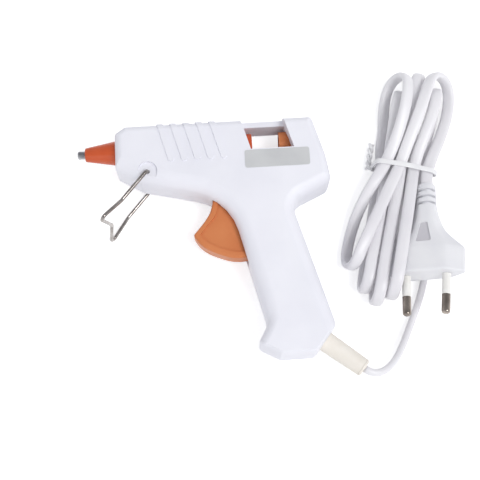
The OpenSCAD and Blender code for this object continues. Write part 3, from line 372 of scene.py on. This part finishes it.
# %% Bend a strip round the strands
# Corners of the strip's inner outline: sideways, height and radius
TIE = [
    (-13.2, 1.2, 1), (12.4, 1.2, 1.5), (16.8, 8.4, 2), (14, 11.9, 2),
    (2, 14.2, 2), (-11.2, 14.4, 2), (-13.2, 5, 2),
]
TIE_W, TIE_T, TIE_OUT, TIE_ARC, WIRE_ROUND = 2.4, 0.8, 0.55, 6, 5


def bent(corners, steps, closed):
    """Points of a line of x, y, radius corners, with an arc at each corner."""
    found = []
    for i, (x, y, r) in enumerate(corners):
        here = Vector((x, y))
        if not closed and i in (0, len(corners) - 1):
            found.append(here)
            continue
        before = (here - Vector(corners[i - 1][:2])).normalized()
        after = (Vector(corners[(i + 1) % len(corners)][:2]) - here).normalized()
        angle = before.angle_signed(after)
        reach = r * math.tan(abs(angle) / 2)
        start = here - reach * before
        for k in range(steps + 1):
            a = abs(angle) * k / steps
            side = Vector((-before.y, before.x)) * (-1 if angle > 0 else 1)
            found.append(start + r * math.sin(a) * before + r * (1 - math.cos(a)) * side)
    return found


def wire_of(name, points, closed, thickness, width=0):
    """A mesh swept along points in metres: round, or a strip where a width is given."""
    bpy.ops.object.select_all(action="DESELECT")
    line = bpy.data.curves.new(name, "CURVE")
    line.dimensions = "3D"
    spline = line.splines.new("POLY")
    spline.points.add(len(points) - 1)
    for point, p in zip(spline.points, points):
        point.co = (*p, 1)
    spline.use_cyclic_u = closed
    spline.use_smooth = True
    line.bevel_depth = thickness / 2
    line.bevel_resolution = WIRE_ROUND
    line.extrude = max(0, (width - thickness) / 2)
    line.use_fill_caps = True
    piece = bpy.data.objects.new(name, line)
    bpy.context.scene.collection.objects.link(piece)
    piece.select_set(True)
    bpy.context.view_layer.objects.active = piece
    bpy.ops.object.convert(target="MESH")
    piece = bpy.context.object
    piece.name = name
    bpy.ops.object.shade_smooth()
    return piece


middle = Vector((sum(c[0] for c in TIE) / len(TIE), sum(c[1] for c in TIE) / len(TIE)))
grown = []
for x, y, r in TIE:
    out = (Vector((x, y)) - middle).normalized()
    grown.append((x + TIE_OUT * out.x, y + TIE_OUT * out.y, r + TIE_T / 2))
strip = [Vector((p.x * MM, p.y * MM, 0)) for p in bent(grown, TIE_ARC, True)]
tie = wire_of("tie_strip", strip, True, TIE_T * MM, TIE_W * MM)
tie_frame = Matrix((ACROSS, UP, ACROSS.cross(UP))).transposed().to_4x4()
tie.data.transform(Matrix.Translation(HANK_AT * MM) @ tie_frame)
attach(tie, "housing")
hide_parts("cord_tie")
print("tie faces:", len(tie.data.polygons))

# %% Twist its two ends together
TWIST_TURNS, TWIST_LEN, TWIST_R, TWIST_WIRE = 2, 13, 0.75, 1.5
TWIST_HEIGHT, TWIST_STEPS = 3.4, 24
twist_at = Vector((TIE[0][0] - TIE_T - TWIST_R - TWIST_WIRE / 2, TWIST_HEIGHT, 0))
twisted = []
for name, phase in (("tie_end_a", 0), ("tie_end_b", math.pi)):
    points = []
    for i in range(TWIST_STEPS * TWIST_TURNS + 1):
        a = phase + math.tau * i / TWIST_STEPS
        along = TIE_W / 2 - TWIST_LEN * i / (TWIST_STEPS * TWIST_TURNS)
        offset = Vector((TWIST_R * math.cos(a), TWIST_R * math.sin(a), along))
        points.append((twist_at + offset) * MM)
    end = wire_of(name, points, False, TWIST_WIRE * MM)
    end.data.transform(Matrix.Translation(HANK_AT * MM) @ tie_frame)
    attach(end, "housing")
    twisted.append(end)
print("twisted ends:", len(twisted))

# %% [markdown]
# ## Shared effects of the finishes
# Moulded plastic is never one flat colour: the tool leaves a fine grain, and the pigment clouds
# a little from place to place. Drawn, turned and extruded pieces have fine lines instead. Both
# effects are built once as node groups, and each material places them with its own sizes.

# %% Grain and clouds of a moulding
def new_group(name, inputs, outputs):
    """An empty shader group with float or vector inputs and float outputs."""
    group = bpy.data.node_groups.new(name, "ShaderNodeTree")
    for label, kind in inputs:
        group.interface.new_socket(label, in_out="INPUT", socket_type=kind)
    for label in outputs:
        group.interface.new_socket(label, in_out="OUTPUT", socket_type="NodeSocketFloat")
    return group, group.nodes.new("NodeGroupInput"), group.nodes.new("NodeGroupOutput")


grain_group, grain_in, grain_out = new_group(
    "moulded_grain",
    [("Grains per metre", "NodeSocketFloat"), ("Clouds per metre", "NodeSocketFloat")],
    ["Grain", "Cloud"],
)
place = grain_group.nodes.new("ShaderNodeTexCoord")
fine_noise = grain_group.nodes.new("ShaderNodeTexNoise")
fine_noise.inputs["Detail"].default_value = 2
cloud_noise = grain_group.nodes.new("ShaderNodeTexNoise")
cloud_noise.inputs["Detail"].default_value = 4
spread = grain_group.nodes.new("ShaderNodeMapRange")
spread.inputs["From Min"].default_value = 0.3
spread.inputs["From Max"].default_value = 0.7
for noise, label in ((fine_noise, "Grains per metre"), (cloud_noise, "Clouds per metre")):
    grain_group.links.new(place.outputs["Object"], noise.inputs["Vector"])
    grain_group.links.new(grain_in.outputs[label], noise.inputs["Scale"])
grain_group.links.new(fine_noise.outputs["Fac"], grain_out.inputs["Grain"])
grain_group.links.new(cloud_noise.outputs["Fac"], spread.inputs["Value"])
grain_group.links.new(spread.outputs["Result"], grain_out.inputs["Cloud"])
print("group:", grain_group.name)

# %% Lines of a drawn, turned or extruded piece
line_group, line_in, line_out = new_group(
    "drawn_lines",
    [("Place", "NodeSocketVector"), ("Lines per metre", "NodeSocketVector")],
    ["Line"],
)
stretch = line_group.nodes.new("ShaderNodeVectorMath")
stretch.operation = "MULTIPLY"
line_noise = line_group.nodes.new("ShaderNodeTexNoise")
line_noise.inputs["Scale"].default_value = 1
line_noise.inputs["Detail"].default_value = 3
line_group.links.new(line_in.outputs["Place"], stretch.inputs[0])
line_group.links.new(line_in.outputs["Lines per metre"], stretch.inputs[1])
line_group.links.new(stretch.outputs["Vector"], line_noise.inputs["Vector"])
line_group.links.new(line_noise.outputs["Fac"], line_out.inputs["Line"])
print("group:", line_group.name)

# %% [markdown]
# ## Finishes
# Colours are given as they look on a screen and turned into the linear values that the shader
# wants. A finish has two close colours that the clouds mix, two roughness values, and a bump
# from the grain or from the lines. Turned metal, the pins, the flex and the foil get lines, and
# the rest a grain.

# %% A finish from its numbers
BUMP_SHARE = 0.5


def linear(red, green, blue):
    """Screen values from 0 to 255 as linear light."""
    parts = [value / 255 for value in (red, green, blue)]
    return [p / 12.92 if p <= 0.04045 else ((p + 0.055) / 1.055) ** 2.4 for p in parts] + [1]


def finish(
    name, light, dark, rough, clouds, grains=2600, depth=0.02, metal=0, lines=None, chart=None,
    gloss=0.5,
):
    """A material whose colour and roughness drift between two values, with a fine bump.

    Clouds, grains and lines are counted per metre, and the bump's depth is in millimetres.
    """
    made = bpy.data.materials.new(name)
    made.use_nodes = True
    tree = made.node_tree
    shader = tree.nodes["Principled BSDF"]
    shader.inputs["Metallic"].default_value = metal
    shader.inputs["Specular IOR Level"].default_value = gloss
    grain = tree.nodes.new("ShaderNodeGroup")
    grain.node_tree = grain_group
    grain.inputs["Grains per metre"].default_value = grains
    grain.inputs["Clouds per metre"].default_value = clouds
    tint = tree.nodes.new("ShaderNodeMix")
    tint.data_type = "RGBA"
    tint.inputs["A"].default_value = linear(*light)
    tint.inputs["B"].default_value = linear(*dark)
    tree.links.new(grain.outputs["Cloud"], tint.inputs["Factor"])
    tree.links.new(tint.outputs["Result"], shader.inputs["Base Color"])
    polish = tree.nodes.new("ShaderNodeMapRange")
    polish.inputs["To Min"].default_value, polish.inputs["To Max"].default_value = rough
    tree.links.new(polish.outputs["Result"], shader.inputs["Roughness"])
    bump = tree.nodes.new("ShaderNodeBump")
    bump.inputs["Strength"].default_value = BUMP_SHARE
    bump.inputs["Distance"].default_value = depth * MM
    tree.links.new(bump.outputs["Normal"], shader.inputs["Normal"])
    if lines:
        streak = tree.nodes.new("ShaderNodeGroup")
        streak.node_tree = line_group
        streak.inputs["Lines per metre"].default_value = lines
        if chart:
            source = tree.nodes.new("ShaderNodeUVMap")
            source.uv_map = chart
            tree.links.new(source.outputs["UV"], streak.inputs["Place"])
        else:
            source = tree.nodes.new("ShaderNodeTexCoord")
            tree.links.new(source.outputs["Object"], streak.inputs["Place"])
        tree.links.new(streak.outputs["Line"], bump.inputs["Height"])
        tree.links.new(streak.outputs["Line"], polish.inputs["Value"])
    else:
        tree.links.new(grain.outputs["Grain"], bump.inputs["Height"])
        tree.links.new(grain.outputs["Cloud"], polish.inputs["Value"])
    return made


shell_white = finish("shell_white", (240, 240, 246), (233, 233, 240), (0.5, 0.62), 40, 2200, 0.03)
trigger_orange = finish(
    "trigger_orange", (214, 134, 86), (206, 121, 74), (0.34, 0.5), 70, 2600, 0.04, gloss=0.2,
)
silicone_orange = finish(
    "silicone_orange", (206, 92, 50), (194, 78, 40), (0.2, 0.3), 90, 3200, 0.015, gloss=0.35,
)
cream_rubber = finish(
    "cream_rubber", (241, 236, 227), (233, 226, 214), (0.4, 0.55), 110, 2400, 0.03,
)
flex_white = finish(
    "flex_white", (238, 237, 239), (228, 226, 230), (0.28, 0.42), 30, depth=0.03,
    lines=(26, 9, 0), chart="length_and_turn",
)
tie_white = finish("tie_white", (243, 243, 243), (230, 230, 232), (0.3, 0.45), 120, 3000, 0.03)
plug_white = finish("plug_white", (238, 238, 240), (227, 227, 231), (0.4, 0.55), 60, 2400, 0.05)
# The sunk panel's floor is really matt, and its darker grey is painted shade of the recess.
panel_matt_painted_shade = finish("panel_matt_painted_shade", (214, 212, 216), (203, 201, 206), (0.6, 0.75), 90, 3400, 0.05)
sleeve_white = finish("sleeve_white", (246, 245, 241), (236, 234, 228), (0.35, 0.5), 140)
turned_aluminium = finish(
    "turned_aluminium", (176, 176, 178), (128, 128, 132), (0.24, 0.4), 300, metal=1, depth=0.01,
    lines=(5200, 40, 40),
)
chrome_wire = finish(
    "chrome_wire", (178, 173, 169), (128, 122, 118), (0.1, 0.2), 260, 1800, 0.006, metal=1,
)
plated_steel = finish("plated_steel", (196, 196, 200), (160, 160, 166), (0.28, 0.42), 300, metal=1)
nickel_pin = finish(
    "nickel_pin", (168, 158, 149), (122, 113, 106), (0.14, 0.26), 160, metal=1, depth=0.004,
    lines=(1500, 60, 1500),
)
brass_strip = finish("brass_strip", (214, 178, 104), (180, 142, 76), (0.25, 0.4), 300, metal=1)
grey_ceramic = finish("grey_ceramic", (120, 118, 116), (96, 94, 92), (0.6, 0.75), 200)
amber_film = finish("amber_film", (206, 140, 48), (184, 118, 34), (0.25, 0.4), 160)
brown_wire = finish("brown_wire", (116, 74, 46), (98, 60, 36), (0.35, 0.5), 120)
blue_wire = finish("blue_wire", (44, 92, 168), (34, 76, 146), (0.35, 0.5), 120)
label_foil = finish(
    "label_foil", (219, 220, 220), (207, 208, 209), (0.32, 0.44), 60, depth=0.008, metal=0.3,
    lines=(90, 2600, 90),
)
print("finishes:", len(bpy.data.materials))

# %% [markdown]
# ## Paint the solids that stay
# The nozzle and its cover, the pin sleeves, the feed collar and everything inside the gun are
# right as the CAD has them. They keep their meshes and get a finish each.

# %% Finishes for the solids
PAINT = {
    shell_white: ["cord_grip"],
    trigger_orange: ["feed_collar"],
    silicone_orange: ["nozzle_cover", "inlet_sleeve"],
    flex_white: ["inner_cord"],
    sleeve_white: ["plug_pin_sleeves"],
    turned_aluminium: ["nozzle_tip", "melt_chamber"],
    plated_steel: [
        "cord_grip_screws", "sleeve_clamp", "trigger_pin", "feed_pin", "trigger_spring",
        "wire_terminals",
    ],
    brass_strip: ["heater_contacts"],
    grey_ceramic: ["heater_element"],
    amber_film: ["heater_insulation"],
    brown_wire: ["wire_live"],
    blue_wire: ["wire_neutral"],
}


def paint(piece, material):
    """Give a piece one material and no other."""
    piece.data.materials.clear()
    piece.data.materials.append(material)


for material, names in PAINT.items():
    for name in names:
        paint(nodes[name], material)
paint(flex, flex_white)
for piece in (tie, *twisted):
    paint(piece, tie_white)
print("painted solids:", sum(len(names) for names in PAINT.values()))

# %% [markdown]
# ## The two housing halves
# The CAD solids have the right shape, but their round edges are made of small flat faces. A
# copy of each is merged into one skin and shaded smooth. On the real gun a fine groove runs all
# round where the two mouldings meet, so the outer edges of the joint are broken by a small
# bevel. A fresh model would only repeat the same outline.

# %% The gun's own axes
LAY = math.radians(3.64944)
GUN_AT = Vector((10.0572, 50.9453, 15.5261))
ON_GUN = Matrix.Translation(GUN_AT * MM) @ Matrix.Rotation(LAY, 4, "Y") @ Matrix.Scale(MM, 4)
TO_GUN = ON_GUN.inverted()
print("gun lies over by", round(math.degrees(LAY), 2), "degrees")

# %% Copy a moulding, mend its skin and shade it
MERGE_WITHIN, FLAT_WITHIN = 0.002, math.radians(0.6)


def only(piece):
    """Select one piece and make it active."""
    bpy.ops.object.select_all(action="DESELECT")
    piece.select_set(True)
    bpy.context.view_layer.objects.active = piece


def skin_copy(node, name, body, material):
    """A merged copy of a CAD solid that takes its place."""
    only(nodes[node])
    bpy.ops.object.duplicate()
    piece = bpy.context.object
    piece.name = piece.data.name = name
    del piece["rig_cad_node"]
    bpy.ops.mesh.customdata_custom_splitnormals_clear()
    bpy.ops.object.mode_set(mode="EDIT")
    bpy.ops.mesh.select_all(action="SELECT")
    bpy.ops.mesh.remove_doubles(threshold=MERGE_WITHIN * MM)
    bpy.ops.mesh.dissolve_limited(angle_limit=FLAT_WITHIN)
    bpy.ops.object.mode_set(mode="OBJECT")
    paint(piece, material)
    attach(piece, body)
    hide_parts(node)
    return piece


def bevel_edges(piece, wanted, offset, segments):
    """Bevel the edges whose two end points both pass a test."""
    only(piece)
    bpy.ops.object.mode_set(mode="EDIT")
    bpy.ops.mesh.select_mode(type="EDGE")
    bpy.ops.mesh.select_all(action="DESELECT")
    bpy.ops.object.mode_set(mode="OBJECT")
    marked = [wanted(vertex.co) for vertex in piece.data.vertices]
    for edge in piece.data.edges:
        edge.select = all(marked[index] for index in edge.vertices)
    bpy.ops.object.mode_set(mode="EDIT")
    bpy.ops.mesh.bevel(offset=offset, segments=segments, affect="EDGES", clamp_overlap=False)
    bpy.ops.mesh.select_mode(type="VERT")
    bpy.ops.object.mode_set(mode="OBJECT")


def shade(piece, angle):
    """Smooth shading over gentle edges, weighted by face size."""
    only(piece)
    bpy.ops.object.shade_smooth_by_angle(angle=math.radians(angle))
    weigh = piece.modifiers.new("weigh_normals", "WEIGHTED_NORMAL")
    weigh.keep_sharp = True
    bpy.ops.object.modifier_apply(modifier=weigh.name)


shells = [
    skin_copy("housing_left", "shell_left", "housing", shell_white),
    skin_copy("housing_right", "shell_right", "housing", shell_white),
]
print("shell faces:", [len(shell.data.polygons) for shell in shells])

# %% Break the outer edges of the joint
# Corners of the gun's side outline: along the barrel, height and radius
OUTLINE = [
    (-56, -11.2, 1.5), (-44.3, -18.2, 4), (-4.1, -27.851, 26), (10.22, -87.5, 8), (5.02, -96.5, 2),
    (15, -102, 2), (30.8, -102, 2), (40.5, -90, 3), (24.6, -31.5, 7), (44.1, -22.6, 4),
    (42.3, -9.5, 20), (37.1, 9.6, 2), (-51, 9.6, 2.5), (-56, 6.2, 1.5),
]
OUTLINE_ARC, JOINT_WITHIN, RIM_WITHIN, ROOF = 12, 0.03, 0.06, 9.65
GROOVE, GROOVE_STEPS, SHELL_SMOOTH = 0.2, 2, 32
rim = bent(OUTLINE, OUTLINE_ARC, True)


def on_joint(co):
    """True for a point of the joint's flat face on the gun's outline or above its roof."""
    x, y, z = TO_GUN @ co
    if abs(z) > JOINT_WITHIN:
        return False
    here = Vector((x, y))
    for a, b in zip(rim, rim[1:] + rim[:1]):
        near, share = intersect_point_line(here, a, b)
        if 0 <= share <= 1 and (here - near).length < RIM_WITHIN:
            return True
    return y > ROOF


for shell in shells:
    bevel_edges(shell, on_joint, GROOVE * MM, GROOVE_STEPS)
    shade(shell, SHELL_SMOOTH)
print("shell faces with the groove:", [len(shell.data.polygons) for shell in shells])

# %% [markdown]
# ## Trigger and strain relief
# Both are mouldings too, and are made in the same way. The trigger's points are then moved a
# little in its own plane: the front edge is hollowed for the finger and the foot drawn in, as
# the photograph has them, and the hub round the pin is kept out of sight. The strain relief's
# thin end is rounded where the flex comes out of it, as soft rubber leaves its tool without a
# sharp corner.

# %% Skins of the trigger and the strain relief
PIVOT = Vector((0, -35.5))
# The front edge: the way in, the hollow's depth, its first angle and span, and where it fades in
FRONT_IN, FRONT_HOLLOW = Vector((0.869, -0.495)), 2.1
FRONT_FROM, FRONT_SPAN, FRONT_FADE = 150, 51, (5, 13)
# The foot: its lift, and where the lift fades in by angle and by radius and fades out to the rear
FOOT_LIFT, FOOT_TURN, FOOT_FADE, FOOT_REAR = 2.2, (205, 248), (9, 17), (5.5, 8.5)
# The hub: its radius in the solid, how near counts, its radius here, and the height it starts at
HUB_R, HUB_WITHIN, HUB_SHOWN, HUB_FROM = 4.4, 0.1, 3.6, 3.8
RELIEF_END, RELIEF_ROUND, RELIEF_STEPS = -0.8, 0.35, 3
TRIGGER_SMOOTH, ROUND_SMOOTH = 34, 40


def soft_step(low, high, value):
    """0 below the low value, 1 above the high one, and a soft step between."""
    x = min(1, max(0, (value - low) / (high - low)))
    return x * x * (3 - 2 * x)


trigger = skin_copy("trigger", "trigger_lever", "trigger", trigger_orange)
for vertex in trigger.data.vertices:
    x, y, z = TO_GUN @ vertex.co
    arm = Vector((x, y)) - PIVOT
    r, angle = arm.length, math.degrees(math.atan2(arm.y, arm.x)) % 360
    if abs(r - HUB_R) < HUB_WITHIN and abs(z) > HUB_FROM:
        arm *= HUB_SHOWN / r
    share = min(1, max(0, (angle - FRONT_FROM) / FRONT_SPAN))
    hollow = FRONT_HOLLOW * 4 * share * (1 - share) * soft_step(*FRONT_FADE, r)
    lift = FOOT_LIFT * soft_step(*FOOT_TURN, angle) * soft_step(*FOOT_FADE, r)
    lift *= 1 - soft_step(*FOOT_REAR, x)
    arm += hollow * FRONT_IN - lift * arm.normalized()
    vertex.co = ON_GUN @ Vector((*(PIVOT + arm), z))
shade(trigger, TRIGGER_SMOOTH)
relief = skin_copy("strain_relief", "relief_sleeve", "housing", cream_rubber)
bevel_edges(
    relief, lambda co: (co / MM - GLAND).dot(GLAND_WAY) > RELIEF_END,
    RELIEF_ROUND * MM, RELIEF_STEPS,
)
shade(relief, ROUND_SMOOTH)
print("trigger and relief faces:", len(trigger.data.polygons), len(relief.data.polygons))

# %% [markdown]
# ## The plug
# The flat plug is one soft moulding. Its broad sides are nearly flat between two soft creases,
# fall away from there to thin ends, and run into a round neck. Rings of points at stations from
# the face to the neck give that form more evenly than the solid's few stations do. A small
# panel and the bending slots of the neck are then cut away by Boolean modifiers. The bare ends
# of the pins are turned metal with domed tips, so each is a cylinder whose end edge is bevelled
# into a dome.

# %% The plug's own axes and its stations
PLUG_FACE = Vector((93.6627, -18.487, 15.4891))
PLUG_RIGHT = Vector((0.930502, -0.0751758, 0.358488))
PLUG_BACK = Vector((0.130648, 0.982455, -0.133092))
plug_turn = Matrix((PLUG_RIGHT, PLUG_BACK, PLUG_RIGHT.cross(PLUG_BACK))).transposed().to_4x4()
PLUG_AT = Matrix.Translation(PLUG_FACE * MM) @ plug_turn
ON_PLUG = PLUG_AT @ Matrix.Scale(MM, 4)
# Distance from the face, half width, half thickness, squareness of the section
STATIONS = [
    (0.9, 17.7, 6.85, 2.8), (6, 17.65, 6.85, 2.8), (11.4, 17.6, 6.85, 2.8), (13.4, 16, 6.65, 2.8),
    (17, 12.4, 6.3, 2.6), (20.5, 9.4, 5.8, 2.6), (25, 7.1, 5.2, 2.6), (32.8, 4.8, 4.5, 2.5),
    (38.6, 4.4, 4.25, 2.4), (44.4, 4, 4, 2.4),
]
STATION_STEPS, PLUG_SIDES = 6, 72
FACE_ROUND, NECK_ROUND, ROUND_STEPS = 0.9, 0.6, 5
# The slope beyond a crease: its two ends as shares of the half width, and how soft the crease is.
# Its height at the first end and its fall are shares of the half thickness.
CREASE_AT, CREASE_END, CREASE_SOFT = 0.57, 0.985, 0.5
CREASE_HIGH, CREASE_FALL = 0.93, 0.73
# They fade out over this length, up to this distance from the face
CREASE_FADE, CREASE_TO = 12, 32


def plug_ring(y, half_w, half_t, squareness):
    """A flat oval whose ends are planed off from a soft crease. The neck stays round."""
    share = min(1, max(0, (CREASE_TO - y) / CREASE_FADE))
    ring = []
    for k in range(PLUG_SIDES):
        x, z = flat_oval(-k / PLUG_SIDES, half_w, half_t, squareness)
        past = (abs(x) / half_w - CREASE_AT) / (CREASE_END - CREASE_AT)
        gap = half_t * (CREASE_HIGH - CREASE_FALL * past) - abs(z)
        planed = abs(z) + (gap - math.hypot(gap, CREASE_SOFT)) / 2
        ring.append((x, y, math.copysign(abs(z) + share * (max(planed, 0) - abs(z)), z)))
    return ring


stations = smoothed(STATIONS, STATION_STEPS) + [STATIONS[-1]]
first, last = STATIONS[0], STATIONS[-1]
for k in range(1, ROUND_STEPS + 1):
    a = math.pi / 2 * k / ROUND_STEPS
    inset, back = FACE_ROUND * (1 - math.cos(a)), FACE_ROUND * math.sin(a)
    stations.insert(0, (first[0] - back, first[1] - inset, first[2] - inset, first[3]))
    inset, out = NECK_ROUND * (1 - math.cos(a)), NECK_ROUND * math.sin(a)
    stations.append((last[0] + out, last[1] - inset, last[2] - inset, last[3]))
plug = skin_of("plug_moulding", [plug_ring(*station) for station in stations])
print("plug rings:", len(stations))

# %% Plates with round corners, and cuts
CORNER_STEPS = 8


def plate(name, low, high, bottom, height, corner):
    """A plate between two corners, in millimetres, with round corners and a flat top."""
    bpy.ops.object.select_all(action="DESELECT")
    bpy.ops.mesh.primitive_plane_add(size=1)
    piece = bpy.context.object
    piece.name = piece.data.name = name
    for vertex in piece.data.vertices:
        vertex.co.x = low[0] if vertex.co.x < 0 else high[0]
        vertex.co.y = low[1] if vertex.co.y < 0 else high[1]
        vertex.co.z = bottom
    bpy.ops.object.mode_set(mode="EDIT")
    bpy.ops.mesh.select_all(action="SELECT")
    bpy.ops.mesh.bevel(offset=corner, segments=CORNER_STEPS, affect="VERTICES")
    bpy.ops.mesh.select_all(action="SELECT")
    bpy.ops.mesh.extrude_region_move(TRANSFORM_OT_translate={"value": (0, 0, height)})
    bpy.ops.mesh.select_all(action="SELECT")
    bpy.ops.mesh.normals_make_consistent(inside=False)
    bpy.ops.object.mode_set(mode="OBJECT")
    return piece


def cut_away(piece, cutter):
    """Take the cutter's shape out of a piece, and drop the cutter."""
    only(piece)
    cut = piece.modifiers.new("cut", "BOOLEAN")
    cut.operation = "DIFFERENCE"
    cut.object = cutter
    bpy.ops.object.modifier_apply(modifier=cut.name)
    bpy.data.objects.remove(cutter)


print("plug face at", tuple(round(value) for value in PLUG_FACE))

# %% Sink the panel and cut the slots
PANEL_LEN, PANEL_WIDE, PANEL_NARROW, PANEL_CORNER, PANEL_CUT = 10.2, 7.4, 3.2, 1.1, 5
PANEL_AT, PANEL_TILT, PANEL_WITHIN = (0, 19.3, 5.3), math.radians(-7.3), 0.05
PANEL_ON_PLUG = Matrix.Translation(PANEL_AT) @ Matrix.Rotation(PANEL_TILT, 4, "X")
SLOTS, SLOT_W, SLOT_CORE, SLOT_OUT = (34.7, 38, 41.3), 1.4, 2.7, 7
SLOT_REACH, SLOT_STEPS = math.radians(76), 10
half_x, half_y = PANEL_WIDE / 2, PANEL_LEN / 2
panel = plate(
    "panel_cutter", (-half_x, -half_y), (half_x, half_y), 0, PANEL_CUT, PANEL_CORNER,
)
for vertex in panel.data.vertices:
    share = vertex.co.y / PANEL_LEN + 0.5
    vertex.co.x *= 1 + (PANEL_NARROW / PANEL_WIDE - 1) * share
panel.data.transform(Matrix.Scale(MM, 4) @ PANEL_ON_PLUG)
cut_away(plug, panel)
for y in SLOTS:
    for side in (1, -1):
        arc = [SLOT_REACH * (k / SLOT_STEPS - 1) for k in range(2 * SLOT_STEPS + 1)]
        profile = [(SLOT_OUT * math.sin(a), SLOT_OUT * math.cos(a)) for a in arc]
        profile += [(SLOT_CORE * math.sin(a), SLOT_CORE * math.cos(a)) for a in reversed(arc)]
        cheeks = [
            [(x, y + step * SLOT_W / 2, side * z) for x, z in profile] for step in (-side, side)
        ]
        cut_away(plug, skin_of("slot_cutter", cheeks))
paint(plug, plug_white)
# The second slot is the sunk panel's floor: a matt finish whose darker grey is painted shade.
plug.data.materials.append(panel_matt_painted_shade)
to_panel = (Matrix.Scale(MM, 4) @ PANEL_ON_PLUG).inverted()
for face in plug.data.polygons:
    x, y, z = to_panel @ face.center
    sunk = abs(z) < PANEL_WITHIN and abs(x) < half_x and abs(y) < half_y
    face.material_index = int(sunk)
plug.data.transform(PLUG_AT)
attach(plug, "housing")
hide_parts("plug_body")
shade(plug, ROUND_SMOOTH)
print("plug faces:", len(plug.data.polygons))

# %% Turn the pins
PIN_R, PIN_FROM, PIN_TO, PIN_DOME, PIN_LEAN, PIN_HALF_PITCH = 2, 10, 19, 1.4, 1.6, 9.3
PIN_SIDES, DOME_STEPS, TIP_WITHIN = 40, 8, 0.1
ends = []
for side in (-1, 1):
    bpy.ops.object.select_all(action="DESELECT")
    bpy.ops.mesh.primitive_cylinder_add(vertices=PIN_SIDES, radius=PIN_R, depth=PIN_TO - PIN_FROM)
    end = bpy.context.object
    end.data.transform(Matrix.Translation((0, 0, (PIN_FROM + PIN_TO) / 2)))
    bevel_edges(end, lambda co: co.z > PIN_TO - TIP_WITHIN, PIN_DOME, DOME_STEPS)
    lean = Matrix.Rotation(math.radians(-PIN_LEAN * side), 4, "Z")
    forward = Matrix.Rotation(math.radians(90), 4, "X")
    seat = Matrix.Translation((PIN_HALF_PITCH * side, 0, 0))
    end.data.transform(ON_PLUG @ seat @ (lean @ forward))
    ends.append(end)
only(ends[0])
ends[1].select_set(True)
bpy.ops.object.join()
pins = bpy.context.object
pins.name = pins.data.name = "pin_ends"
paint(pins, nickel_pin)
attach(pins, "housing")
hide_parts("plug_pins")
shade(pins, ROUND_SMOOTH)
print("pin faces:", len(pins.data.polygons))

# %% [markdown]
# ## The wire stand
# The stand is one bright wire: two legs, a splay, and a notch in the middle of the foot. A
# curve along the bends with a round bevel is the plain way to a smooth wire.

# %% Bend the wire
STAND_AT, STAND_WAY, WIRE_R, STAND_ARC = (-40.8, -14.2), math.radians(228.8), 0.9, 10
# Bends of the wire: distance from the pivot, distance from the gun's middle plane, and radius
STAND = [
    (0, 9.2, 0), (0, 13.6, 1.7), (18.3, 13.6, 4), (32.2, 20, 2), (28, 0, 2),
    (32.2, -20, 2), (18.3, -13.6, 4), (0, -13.6, 1.7), (0, -9.2, 0),
]
bends = [
    ON_GUN @ Vector((
        STAND_AT[0] + p.x * math.cos(STAND_WAY), STAND_AT[1] + p.x * math.sin(STAND_WAY), p.y,
    ))
    for p in bent(STAND, STAND_ARC, False)
]
stand = wire_of("stand_wire", bends, False, 2 * WIRE_R * MM)
paint(stand, chrome_wire)
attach(stand, "stand")
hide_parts("stand")
print("stand faces:", len(stand.data.polygons))

# %% [markdown]
# ## Case screws
# Five small screws hold the halves together from the right side, each down a well. A head is a
# short cylinder with a broken edge. Its under face is inset and drawn out into the shank, and
# two narrow bars are cut away for the cross. One screw is made and copied to each well.

# %% Make one screw
SCREWS, SCREW_SEAT = [(-49, -9.6), (-18, -17.5), (37, -17.5), (21, -70), (12.5, -94)], -9
HEAD_SIDES, HEAD_R, HEAD_H, HEAD_EDGE, HEAD_STEPS, TOP_WITHIN = 32, 2.3, 1.6, 0.55, 4, 0.1
SHANK_INSET, SHANK_LEN = 1.2, 17
BAR_LONG, BAR_THIN, BAR_FROM, BAR_H, BAR_CORNER = 1.35, 0.3, -2.6, 1.9, 0.12
bpy.ops.object.select_all(action="DESELECT")
bpy.ops.mesh.primitive_cylinder_add(vertices=HEAD_SIDES, radius=HEAD_R, depth=HEAD_H)
screw = bpy.context.object
screw.data.transform(Matrix.Translation((0, 0, -HEAD_H / 2)))
bevel_edges(screw, lambda co: co.z < TOP_WITHIN - HEAD_H, HEAD_EDGE, HEAD_STEPS)
bpy.ops.object.mode_set(mode="EDIT")
bpy.ops.mesh.select_mode(type="FACE")
bpy.ops.mesh.select_all(action="DESELECT")
bpy.ops.object.mode_set(mode="OBJECT")
for face in screw.data.polygons:
    face.select = face.normal.z > 0.9
bpy.ops.object.mode_set(mode="EDIT")
bpy.ops.mesh.inset(thickness=SHANK_INSET)
bpy.ops.mesh.extrude_region_move(TRANSFORM_OT_translate={"value": (0, 0, SHANK_LEN)})
bpy.ops.mesh.select_mode(type="VERT")
bpy.ops.object.mode_set(mode="OBJECT")
for x, y in ((BAR_LONG, BAR_THIN), (BAR_THIN, BAR_LONG)):
    cut_away(screw, plate("bar_cutter", (-x, -y), (x, y), BAR_FROM, BAR_H, BAR_CORNER))
print("screw faces:", len(screw.data.polygons))

# %% Drive a copy into each well
copies = []
for x, y in SCREWS:
    only(screw)
    bpy.ops.object.duplicate()
    copy = bpy.context.object
    copy.data.transform(ON_GUN @ Matrix.Translation((x, y, SCREW_SEAT)))
    copies.append(copy)
bpy.data.objects.remove(screw)
only(copies[0])
for copy in copies:
    copy.select_set(True)
bpy.ops.object.join()
screws = bpy.context.object
screws.name = screws.data.name = "case_screws"
paint(screws, plated_steel)
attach(screws, "housing")
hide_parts("housing_screws")
shade(screws, ROUND_SMOOTH)
print("screws:", len(SCREWS))

# %% [markdown]
# ## The label's place
# A small foil label sits below the window. It is left bare: a thin plate with round corners
# that lies on the side face.

# %% Lay the foil
LABEL_LOW, LABEL_HIGH = (4.4, -15.6), (34.4, -6.9)
LABEL_ON, LABEL_T, LABEL_CORNER = 13.02, 0.1, 1.1
label = plate("bare_label", LABEL_LOW, LABEL_HIGH, LABEL_ON, LABEL_T, LABEL_CORNER)
label.data.transform(ON_GUN)
paint(label, label_foil)
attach(label, "housing")
print("label faces:", len(label.data.polygons))
